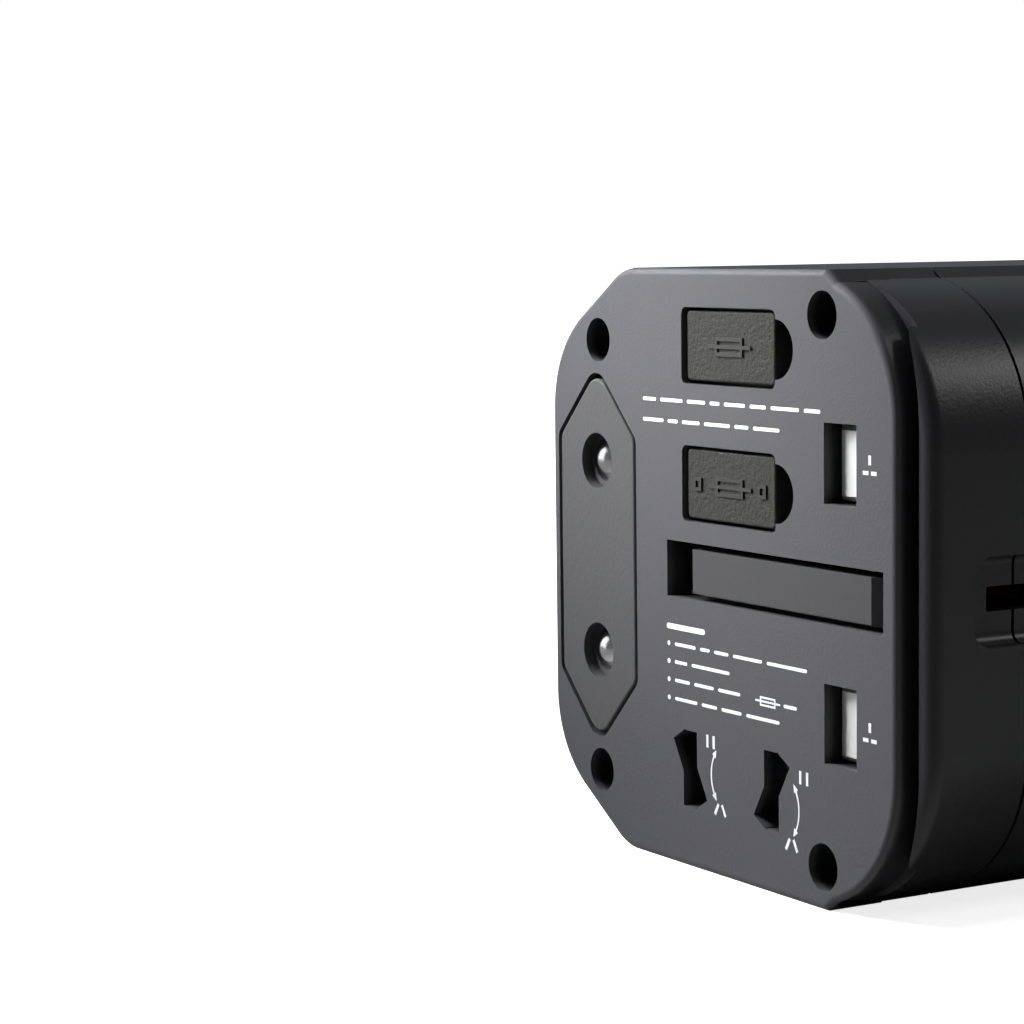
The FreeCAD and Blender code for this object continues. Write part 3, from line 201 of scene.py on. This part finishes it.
grain_spread = math_step(grain, "MULTIPLY",
                         math_step(grain, "SUBTRACT", grain_wide.outputs["Fac"], 0.5),
                         grain_in.outputs["Gloss spread"])
grain.links.new(math_step(grain, "ADD", grain_spread, grain_in.outputs["Roughness"]),
                grain_out.inputs["Roughness"])


def moulded_plastic(name, colour, roughness, cells=3200.0, depth=1.0, relief=0.00003, gloss=0.5):
    """Moulded plastic with the grain of its mould."""
    material = bpy.data.materials.new(name)
    material.use_nodes = True
    tree = material.node_tree
    surface = tree.nodes["Principled BSDF"]
    surface.inputs["Base Color"].default_value = (*colour, 1)
    surface.inputs["Specular IOR Level"].default_value = gloss
    texture = tree.nodes.new("ShaderNodeGroup")
    texture.name = "mould_grain_place"
    texture.node_tree = grain
    texture.inputs["Cells per metre"].default_value = cells
    texture.inputs["Depth"].default_value = depth
    texture.inputs["Roughness"].default_value = roughness
    bump = tree.nodes.new("ShaderNodeBump")
    bump.inputs["Distance"].default_value = relief
    bump.inputs["Strength"].default_value = 0.8
    tree.links.new(texture.outputs["Height"], bump.inputs["Height"])
    tree.links.new(bump.outputs["Normal"], surface.inputs["Normal"])
    tree.links.new(texture.outputs["Roughness"], surface.inputs["Roughness"])
    return material


def finish_node(name, material):
    """Gives every material slot of a CAD node this material."""
    for place in nodes[name].material_slots:
        place.material = material


shell_colour = (0.013, 0.013, 0.015)
face_colour = (0.043, 0.043, 0.048)
shell_black = moulded_plastic("shell_plastic", shell_colour, 0.36, 3600, 1.0, 0.000008)
face_black = moulded_plastic("face_plastic", face_colour, 0.36, 3300, 1.0, 0.00003)

# The rear cover is greyer and duller on its plug face than on its sides: the change runs over
# the last bit of depth before the face.
cover_tree = face_black.node_tree
cover_place = cover_tree.nodes.new("ShaderNodeTexCoord")
cover_axes = cover_tree.nodes.new("ShaderNodeSeparateXYZ")
cover_tree.links.new(cover_place.outputs["Object"], cover_axes.inputs[0])
face_share = cover_tree.nodes.new("ShaderNodeMapRange")
face_share.inputs["From Min"].default_value = -33.0 * mm
face_share.inputs["From Max"].default_value = -33.6 * mm
cover_tree.links.new(cover_axes.outputs["Y"], face_share.inputs["Value"])
cover_colour = cover_tree.nodes.new("ShaderNodeMix")
cover_colour.data_type = "RGBA"
cover_colour.inputs["A"].default_value = (*shell_colour, 1)
cover_colour.inputs["B"].default_value = (*face_colour, 1)
cover_tree.links.new(face_share.outputs["Result"], cover_colour.inputs["Factor"])
cover_surface = cover_tree.nodes["Principled BSDF"]
cover_tree.links.new(cover_colour.outputs["Result"], cover_surface.inputs["Base Color"])
face_extra_roughness = 0.14
face_duller = math_step(cover_tree, "MULTIPLY", face_share.outputs["Result"], face_extra_roughness)
cover_tree.links.new(math_step(cover_tree, "ADD", face_duller,
                               cover_tree.nodes["mould_grain_place"].outputs["Roughness"]),
                     cover_surface.inputs["Roughness"])
finish_node("rear_cover", face_black)
finish_node("main_shell", shell_black)
finish_node("front_cover", shell_black)

# ---------------------------------------------------------------------------------------------
# Printed marks on the plug face: white ink, tampon printed after moulding. Rows of plain dashes
# stand where the ratings go, and plain signs for a fuse, for pin patterns and for turning.
# ---------------------------------------------------------------------------------------------

face_y = cad_box[0][1]
middle_z = (cad_box[0][2] + cad_box[1][2]) / 2
ink_film = 0.00002

white_ink = bpy.data.materials.new("white_ink")
white_ink.use_nodes = True
ink_surface = white_ink.node_tree.nodes["Principled BSDF"]
ink_surface.inputs["Base Color"].default_value = (0.48, 0.49, 0.50, 1)
ink_surface.inputs["Roughness"].default_value = 0.55


class FlatSign:
    """Outlines on a plane that faces -Y, raised by one thickness and joined in one mesh."""

    def __init__(self, plane_y, thickness):
        self.shape = bmesh.new()
        self.front = plane_y - thickness
        self.back = plane_y

    def patch(self, corners):
        """A filled outline; corners are (x, z) in mm from the face's centre line and middle."""
        low = [self.shape.verts.new((x * mm, self.back, middle_z + z * mm)) for x, z in corners]
        top = [self.shape.verts.new((x * mm, self.front, middle_z + z * mm)) for x, z in corners]
        self.shape.faces.new(top)
        self.shape.faces.new(low[::-1])
        for first in range(len(corners)):
            second = (first + 1) % len(corners)
            self.shape.faces.new((top[second], top[first], low[first], low[second]))

    def dash(self, start, end, width):
        """A stroke with round ends."""
        run = Vector(end) - Vector(start)
        heading = math.atan2(run.y, run.x)
        corners = []
        for centre, turn in ((end, -90), (start, 90)):
            for step in range(7):
                angle = heading + math.radians(turn + 30 * step)
                corners.append((centre[0] + width / 2 * math.cos(angle),
                                centre[1] + width / 2 * math.sin(angle)))
        self.patch(corners)

    def ribbon(self, points, width):
        """One stroke that bends along its points."""
        left, right = [], []
        for place, point in enumerate(points):
            before, after = points[max(place - 1, 0)], points[min(place + 1, len(points) - 1)]
            run = (Vector(after) - Vector(before)).normalized()
            left.append((point[0] - run.y * width / 2, point[1] + run.x * width / 2))
            right.append((point[0] + run.y * width / 2, point[1] - run.x * width / 2))
        for k in range(len(points) - 1):
            self.patch((left[k], right[k], right[k + 1], left[k + 1]))

    def frame(self, centre, half_wide, half_high, width):
        """A box drawn with a line of this width."""
        x, z = centre
        inner_wide, inner_high = half_wide - width, half_high - width
        for side in (-1, 1):
            low, high = sorted((side * half_high, side * inner_high))
            self.patch(((x - half_wide, z + low), (x + half_wide, z + low),
                        (x + half_wide, z + high), (x - half_wide, z + high)))
            low, high = sorted((side * half_wide, side * inner_wide))
            self.patch(((x + low, z - inner_high), (x + high, z - inner_high),
                        (x + high, z + inner_high), (x + low, z + inner_high)))

    def build(self, name, material, body):
        """The finished sign, riding on its body."""
        bmesh.ops.recalc_face_normals(self.shape, faces=self.shape.faces)
        mesh = bpy.data.meshes.new(name)
        self.shape.to_mesh(mesh)
        self.shape.free()
        mesh.materials.append(material)
        sign = bpy.data.objects.new(name, mesh)
        scene.collection.objects.link(sign)
        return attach(sign, body)


def print_words(sign, left, level, widths, height):
    """A row of word-long dashes."""
    for width in widths:
        sign.dash((left + height / 2, level), (left + width - height / 2, level), height)
        left += width + 0.75


def fuse_symbol(sign, centre, half_wide, half_high, stroke):
    """The standard fuse sign: a box with a wire through it."""
    x, z = centre
    sign.frame(centre, half_wide, half_high, stroke)
    for start, end in ((-1.6, -1.0), (-1.0 + stroke / half_wide, 1.0 - stroke / half_wide), (1.0, 1.6)):
        sign.patch(((x + start * half_wide, z - stroke / 2), (x + end * half_wide, z - stroke / 2),
                    (x + end * half_wide, z + stroke / 2), (x + start * half_wide, z + stroke / 2)))


def arc(centre, radius, start, end, steps=12):
    """Points along a circle, angles in degrees."""
    return [(centre[0] + radius * math.cos(math.radians(start + (end - start) * k / steps)),
             centre[1] + radius * math.sin(math.radians(start + (end - start) * k / steps)))
            for k in range(steps + 1)]


def turn_arrow(sign, centre, radius, start, end, stroke):
    """A curved arrow with a head at both ends."""
    curve = arc(centre, radius, start, end)
    sign.ribbon(curve[1:-1], stroke)
    for tip, inner in ((curve[0], curve[1]), (curve[-1], curve[-2])):
        back = (Vector(inner) - Vector(tip)).normalized()
        side = Vector((-back.y, back.x))
        root = Vector(inner)
        point = root - back * 0.7
        sign.patch([tuple(point), tuple(root + side * 0.32), tuple(root - side * 0.32)])


def pin_pattern(sign, centre, pins):
    """Small filled rectangles that show the pins of one plug: (x, z, half wide, half high, lean)."""
    for x, z, half_wide, half_high, lean in pins:
        cosine, sine = math.cos(math.radians(lean)), math.sin(math.radians(lean))
        sign.patch([(centre[0] + x + a * cosine - b * sine, centre[1] + z + a * sine + b * cosine)
                    for a, b in ((-half_wide, -half_high), (half_wide, -half_high),
                                 (half_wide, half_high), (-half_wide, half_high))])


three_flat_pins = ((0, 0.62, 0.17, 0.4, 0), (-0.55, -0.45, 0.36, 0.16, 0), (0.55, -0.45, 0.36, 0.16, 0))
two_upright_pins = ((-0.5, 0, 0.16, 0.58, 0), (0.5, 0, 0.16, 0.58, 0))
two_leaning_pins = ((-0.55, 0, 0.16, 0.58, -30), (0.55, 0, 0.16, 0.58, 30))

face_print = FlatSign(face_y, ink_film)
print_words(face_print, -10.75, 15.4, (2.2, 3.6, 2.9, 1.5, 3.2, 2.4, 4.1, 2.3), 0.32)
print_words(face_print, -10.75, 13.5, (3.4, 1.6, 2.8, 4.0, 2.1, 3.9), 0.32)
print_words(face_print, -7.0, -5.35, (6.2,), 0.5)
caution_rows = (
    (-6.95, (3.4, 1.5, 2.2, 4.4, 5.9)),
    (-8.6, (2.0, 6.0)),
    (-10.3, (2.4, 3.1, 3.4)),
    (-12.0, (3.6, 2.4, 3.1, 5.0)),
)
for level, widths in caution_rows:
    face_print.dash((-6.7, level), (-6.69, level), 0.45)
    print_words(face_print, -5.7, level, widths, 0.30)
fuse_symbol(face_print, (8.9, -10.4), 1.15, 0.42, 0.16)
print_words(face_print, 11.3, -10.4, (1.9,), 0.30)
for level in (11.1, -11.2):
    pin_pattern(face_print, (23.5, level), three_flat_pins)
for centre_x, centre_z, bow in ((0.0, -18.15, 1.0), (13.6, -19.35, -1.0)):
    swing = (centre_x + bow * 3.6, centre_z)
    spread = (145, 215) if bow > 0 else (35, -35)
    turn_arrow(face_print, swing, 3.5, *spread, 0.17)
pin_pattern(face_print, (0.0, -15.2), two_upright_pins)
pin_pattern(face_print, (1.5, -21.2), two_leaning_pins)
pin_pattern(face_print, (14.2, -16.3), two_upright_pins)
pin_pattern(face_print, (12.4, -22.45), two_leaning_pins)
face_print.build("plug_face_print", white_ink, "housing")

# ---------------------------------------------------------------------------------------------
# Fuse drawers: the main and the spare one, black nylon with a pebbled door that carries a
# raised fuse sign. Each tray holds a 5 x 20 mm glass cartridge with nickel caps and a thin
# wire inside. The drawers slide in wells of the main shell and are pulled by the finger notch.
# ---------------------------------------------------------------------------------------------

door_black = moulded_plastic("door_plastic", (0.018, 0.018, 0.017), 0.46, 2300, 1.0, 0.00016)
sign_black = moulded_plastic("door_sign", (0.022, 0.022, 0.021), 0.34, 3000, 0.5, 0.00001)


def plated_metal(name, colour, roughness, scratch=0.06):
    """Plated or bare metal, a little uneven in its shine."""
    material = bpy.data.materials.new(name)
    material.use_nodes = True
    tree = material.node_tree
    surface = tree.nodes["Principled BSDF"]
    surface.inputs["Base Color"].default_value = (*colour, 1)
    surface.inputs["Metallic"].default_value = 1.0
    texture = tree.nodes.new("ShaderNodeGroup")
    texture.node_tree = grain
    texture.inputs["Cells per metre"].default_value = 5000.0
    texture.inputs["Depth"].default_value = 0.5
    texture.inputs["Gloss spread"].default_value = scratch
    texture.inputs["Roughness"].default_value = roughness
    bump = tree.nodes.new("ShaderNodeBump")
    bump.inputs["Distance"].default_value = 0.000004
    bump.inputs["Strength"].default_value = 0.5
    tree.links.new(texture.outputs["Height"], bump.inputs["Height"])
    tree.links.new(bump.outputs["Normal"], surface.inputs["Normal"])
    tree.links.new(texture.outputs["Roughness"], surface.inputs["Roughness"])
    return material


cap_nickel = plated_metal("fuse_cap_metal", (0.72, 0.71, 0.69), 0.24)
tin_wire = plated_metal("fuse_wire_tin", (0.66, 0.64, 0.60), 0.30)
tube_glass = bpy.data.materials.new("fuse_tube_glass")
tube_glass.use_nodes = True
glass_surface = tube_glass.node_tree.nodes["Principled BSDF"]
glass_surface.inputs["Base Color"].default_value = (0.93, 0.97, 0.96, 1)
glass_surface.inputs["Roughness"].default_value = 0.02
glass_surface.inputs["IOR"].default_value = 1.47
glass_surface.inputs["Transmission Weight"].default_value = 1.0


def round_wire(name, points, radius, material, body, sides=8):
    """A bare wire swept along its points, riding on its body."""
    shape = bmesh.new()
    rings = []
    across = Vector((1, 0, 0))
    for place, point in enumerate(points):
        before, after = points[max(place - 1, 0)], points[min(place + 1, len(points) - 1)]
        run = (Vector(after) - Vector(before)).normalized()
        across = (across - run * across.dot(run)).normalized()
        up = run.cross(across)
        ring = []
        for k in range(sides):
            turn = 2 * math.pi * k / sides
            outward = across * math.cos(turn) + up * math.sin(turn)
            ring.append(shape.verts.new(Vector(point) + radius * outward))
        rings.append(ring)
    for first, second in zip(rings, rings[1:]):
        for k in range(sides):
            shape.faces.new((first[k], first[(k + 1) % sides], second[(k + 1) % sides], second[k]))
    shape.faces.new(rings[0][::-1])
    shape.faces.new(rings[-1])
    bmesh.ops.recalc_face_normals(shape, faces=shape.faces)
    for face in shape.faces:
        face.smooth = True
    mesh = bpy.data.meshes.new(name)
    shape.to_mesh(mesh)
    shape.free()
    mesh.materials.append(material)
    wire = bpy.data.objects.new(name, mesh)
    scene.collection.objects.link(wire)
    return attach(wire, body)


door_centre_x = 2.93
door_skin = 0.05 * mm
sign_height = 0.22 * mm
fuse_wire_radius = 0.12 * mm
wire_steps = 10
for drawer, glass, caps in (("fuse_drawer", "fuse_glass", "fuse_caps"),
                            ("spare_fuse_drawer", "spare_fuse_glass", "spare_fuse_caps")):
    finish_node(drawer, door_black)
    finish_node(glass, tube_glass)
    finish_node(caps, cap_nickel)
    door_low, door_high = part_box(drawer)
    door_centre = (door_centre_x, (door_low.z + door_high.z) / 2 / mm - middle_z / mm)
    sign = FlatSign(door_low.y + door_skin, sign_height)
    fuse_symbol(sign, door_centre, 2.1, 0.85, 0.34)
    if drawer == "spare_fuse_drawer":
        for side in (-5.0, 5.0):
            sign.frame((door_centre[0] + side, door_centre[1]), 0.6, 0.6, 0.3)
    sign.build(drawer + "_sign", sign_black, drawer)
    low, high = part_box(glass)
    centre = (low + high) / 2
    reach = high.y - low.y
    wire_points = []
    for k in range(wire_steps + 1):
        sag = math.sin(math.pi * k / wire_steps)
        wire_points.append((centre.x + 0.0004 * sag, low.y + reach * k / wire_steps, centre.z - 0.0005 * sag))
    round_wire(glass + "_wire", wire_points, fuse_wire_radius, tin_wire, drawer)

for name in ("fuse_contact_front", "fuse_contact_rear"):
    finish_node(name, plated_metal(name + "_metal", (0.74, 0.60, 0.36), 0.28))
finish_node("fuse_sleeve", moulded_plastic("sleeve_plastic", (0.012, 0.012, 0.012), 0.45))

# ---------------------------------------------------------------------------------------------
# Cover screws: four blackened steel screws deep in their wells, which hold the rear cover.
# ---------------------------------------------------------------------------------------------

finish_node("cover_screws", plated_metal("screw_steel", (0.035, 0.035, 0.037), 0.45))

# ---------------------------------------------------------------------------------------------
# UK slide: two solid brass pins with bright nickel plating, moulded into a nylon carrier that
# runs on two steel rods. Its thumb slider stands in the recess on the right side.
# ---------------------------------------------------------------------------------------------

pin_nickel = plated_metal("pin_brass", (0.90, 0.90, 0.90), 0.36, 0.05)
pin_nickel.node_tree.nodes["Principled BSDF"].inputs["Metallic"].default_value = 0.72
carrier_black = moulded_plastic("carrier_plastic", (0.020, 0.020, 0.021), 0.50)
knob_black = moulded_plastic("knob_plastic", (0.015, 0.015, 0.017), 0.38, 3600, 1.0, 0.00001)
guide_steel = plated_metal("rod_steel", (0.56, 0.57, 0.58), 0.20)
for name in ("uk_neutral_pin", "uk_live_pin"):
    finish_node(name, pin_nickel)
for name in ("uk_carrier", "eu_pin_carrier", "us_carrier"):
    finish_node(name, carrier_black)
for name in ("uk_slider_knob", "eu_slider_knob", "us_slider_knob"):
    finish_node(name, knob_black)
for name in ("uk_guide_rods", "us_guide_rods"):
    finish_node(name, guide_steel)

# ---------------------------------------------------------------------------------------------
# Folding earth pin: a grey glass-filled nylon bar with no metal, since the adapter isn't
# earthed. It turns on a steel pin in a cradle behind the plug face and lies in its slot.
# ---------------------------------------------------------------------------------------------

finish_node("earth_pin", moulded_plastic("bar_plastic", (0.033, 0.033, 0.035), 0.46, 3000, 1.0, 0.00002))
finish_node("earth_pin_cradle", carrier_black)
finish_node("earth_hinge_pin", guide_steel)

# ---------------------------------------------------------------------------------------------
# Europlug block: a six-sided sliding body of the casing's plastic. Its two nickel-plated pins
# have domed tips and black insulating sleeves, and slide through it on their own carrier.
# ---------------------------------------------------------------------------------------------

finish_node("eu_block", moulded_plastic("block_plastic", (0.042, 0.042, 0.044), 0.50, 2600, 1.0, 0.00004))
finish_node("eu_pins", plated_metal("nickel", (0.84, 0.84, 0.85), 0.22, 0.04))
finish_node("eu_pin_sleeves", moulded_plastic("eu_sleeve_plastic", (0.010, 0.010, 0.010), 0.42))

# ---------------------------------------------------------------------------------------------
# US and Australian blades: nickel-plated brass blades in nylon hubs that turn 30 degrees in
# their carrier, which makes the parallel pair a leaning one.
# ---------------------------------------------------------------------------------------------

for name in ("us_blade_left", "us_blade_right"):
    finish_node(name, pin_nickel)
for name in ("blade_hub_left", "blade_hub_right"):
    finish_node(name, carrier_black)

# ---------------------------------------------------------------------------------------------
# Socket side: the plate with the openings for every plug, behind it the safety shutter with its
# two steel springs, and the brass contacts on their bulkhead. The springs are wound here, since
# a CAD solid can't shorten when the shutter comes down.
# ---------------------------------------------------------------------------------------------

finish_node("socket_plate",
            moulded_plastic("socket_plastic", (0.038, 0.038, 0.040), 0.50, 2600, 1.0, 0.00004))
finish_node("socket_shutter", moulded_plastic("shutter_plastic", (0.055, 0.055, 0.055), 0.40))

spring_steel = plated_metal("spring_steel", (0.62, 0.62, 0.62), 0.25)
spring_low, spring_high = (Vector(corner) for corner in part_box("shutter_springs"))
spring_wire = 0.18 * mm
spring_turns = 5
steps_per_turn = 16
spring_steps = spring_turns * steps_per_turn
coil_radius = (spring_high.y - spring_low.y) / 2 - spring_wire
coil_depth = (spring_high.y + spring_low.y) / 2
coil_rise = spring_high.z - spring_low.z - 2 * spring_wire
for side, sign in (("left", -1), ("right", 1)):
    coil_middle = sign * (spring_high.x - spring_wire - coil_radius)
    coil_points = []
    for step in range(spring_steps + 1):
        turn = 2 * math.pi * step / steps_per_turn
        height = spring_low.z + spring_wire + coil_rise * step / spring_steps
        coil_points.append((coil_middle + coil_radius * math.cos(turn),
                            coil_depth + coil_radius * math.sin(turn), height))
    spring = round_wire(f"shutter_spring_{side}", coil_points, spring_wire, spring_steel, "housing")
    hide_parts("shutter_springs")
    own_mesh(spring)
for name in ("live_contact", "neutral_contact", "live_bus_bar", "neutral_bus_bar"):
    finish_node(name, plated_metal(name + "_brass", (0.78, 0.62, 0.34), 0.27))
finish_node("bulkhead", carrier_black)

# ---------------------------------------------------------------------------------------------
# Power supply: a glass-fibre board with a small transformer, two electrolytic capacitors and
# the controller chips. It turns mains voltage into 5 V for the USB ports.
# ---------------------------------------------------------------------------------------------

board_green = moulded_plastic("board_laminate", (0.010, 0.070, 0.032), 0.28, 700, 1.0, 0.00001)
finish_node("power_board", board_green)
finish_node("usb_board", board_green)
finish_node("transformer_core", moulded_plastic("ferrite", (0.030, 0.030, 0.032), 0.62, 1800, 1.0, 0.00004))
finish_node("transformer_winding", moulded_plastic("winding_tape", (0.62, 0.42, 0.04), 0.30))
finish_node("filter_capacitors", moulded_plastic("capacitor_can", (0.010, 0.014, 0.045), 0.25))
finish_node("controller_chips", moulded_plastic("chip_epoxy", (0.012, 0.012, 0.012), 0.55))

# ---------------------------------------------------------------------------------------------
# USB ports: three USB-A shells and one USB-C shell of folded steel on the USB board, with
# insulating tongues. Gold-plated contacts lie on the tongues.
# ---------------------------------------------------------------------------------------------

usb_steel = plated_metal("usb_steel", (0.66, 0.66, 0.67), 0.22)
finish_node("usb_a_shells", usb_steel)
finish_node("usb_c_shell", usb_steel)
finish_node("usb_a_tongues", moulded_plastic("usb_insulator", (0.70, 0.70, 0.70), 0.40))
finish_node("usb_c_tongue", moulded_plastic("usb_c_insulator", (0.02, 0.02, 0.02), 0.40))

contact_gold = plated_metal("contact_gold", (0.90, 0.66, 0.26), 0.24)


def contact_strips(name, strips, material, body):
    """Flat contacts that stand up on a tongue, each with a bevelled top: (x, y, facing, width, low, high)."""
    shape = bmesh.new()
    for x, y, facing, width, low, high in strips:
        outline = ((0, low), (0.12 * mm, low), (0.12 * mm, high - 0.5 * mm), (0, high))
        near = [shape.verts.new((x + facing * out, y - width / 2, up)) for out, up in outline]
        far = [shape.verts.new((x + facing * out, y + width / 2, up)) for out, up in outline]
        shape.faces.new(near)
        shape.faces.new(far[::-1])
        for first in range(len(outline)):
            second = (first + 1) % len(outline)
            shape.faces.new((near[second], near[first], far[first], far[second]))
    bmesh.ops.recalc_face_normals(shape, faces=shape.faces)
    mesh = bpy.data.meshes.new(name)
    shape.to_mesh(mesh)
    shape.free()
    mesh.materials.append(material)
    strip_set = bpy.data.objects.new(name, mesh)
    scene.collection.objects.link(strip_set)
    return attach(strip_set, body)


a_low, a_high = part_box("usb_a_tongues")
a_middle = (a_low.y + a_high.y) / 2
a_pitch = 8.6 * mm
tongue_thickness = 1.9 * mm
contact_strips("usb_a_contacts",
               [(a_low.x + tongue_thickness + port * a_pitch, a_middle + across * mm, 1, 1.0 * mm,
                 a_high.z - 6.5 * mm, a_high.z - 0.7 * mm)
                for port in range(3) for across in (-3.5, -1.0, 1.0, 3.5)],
               contact_gold, "housing")
c_low, c_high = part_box("usb_c_tongue")
c_middle = (c_low.y + c_high.y) / 2
c_pitch = 0.75 * mm
contact_strips("usb_c_contacts",
               [(c_high.x if facing > 0 else c_low.x, c_middle + (k - 3.5) * c_pitch, facing,
                 0.28 * mm, c_high.z - 4.5 * mm, c_high.z - 0.5 * mm)
                for facing in (-1, 1) for k in range(8)],
               contact_gold, "housing")

# ---------------------------------------------------------------------------------------------
# Power light: a blue diode on the power board, and a clear acrylic pipe that brings its light
# to the socket face.
# ---------------------------------------------------------------------------------------------

pipe_acrylic = bpy.data.materials.new("light_guide")
pipe_acrylic.use_nodes = True
pipe_surface = pipe_acrylic.node_tree.nodes["Principled BSDF"]
pipe_surface.inputs["Base Color"].default_value = (0.82, 0.90, 0.95, 1)
pipe_surface.inputs["Roughness"].default_value = 0.12
pipe_surface.inputs["IOR"].default_value = 1.49
pipe_surface.inputs["Transmission Weight"].default_value = 0.6
finish_node("light_pipe", pipe_acrylic)
finish_node("status_led", moulded_plastic("diode_epoxy", (0.30, 0.50, 0.80), 0.20))
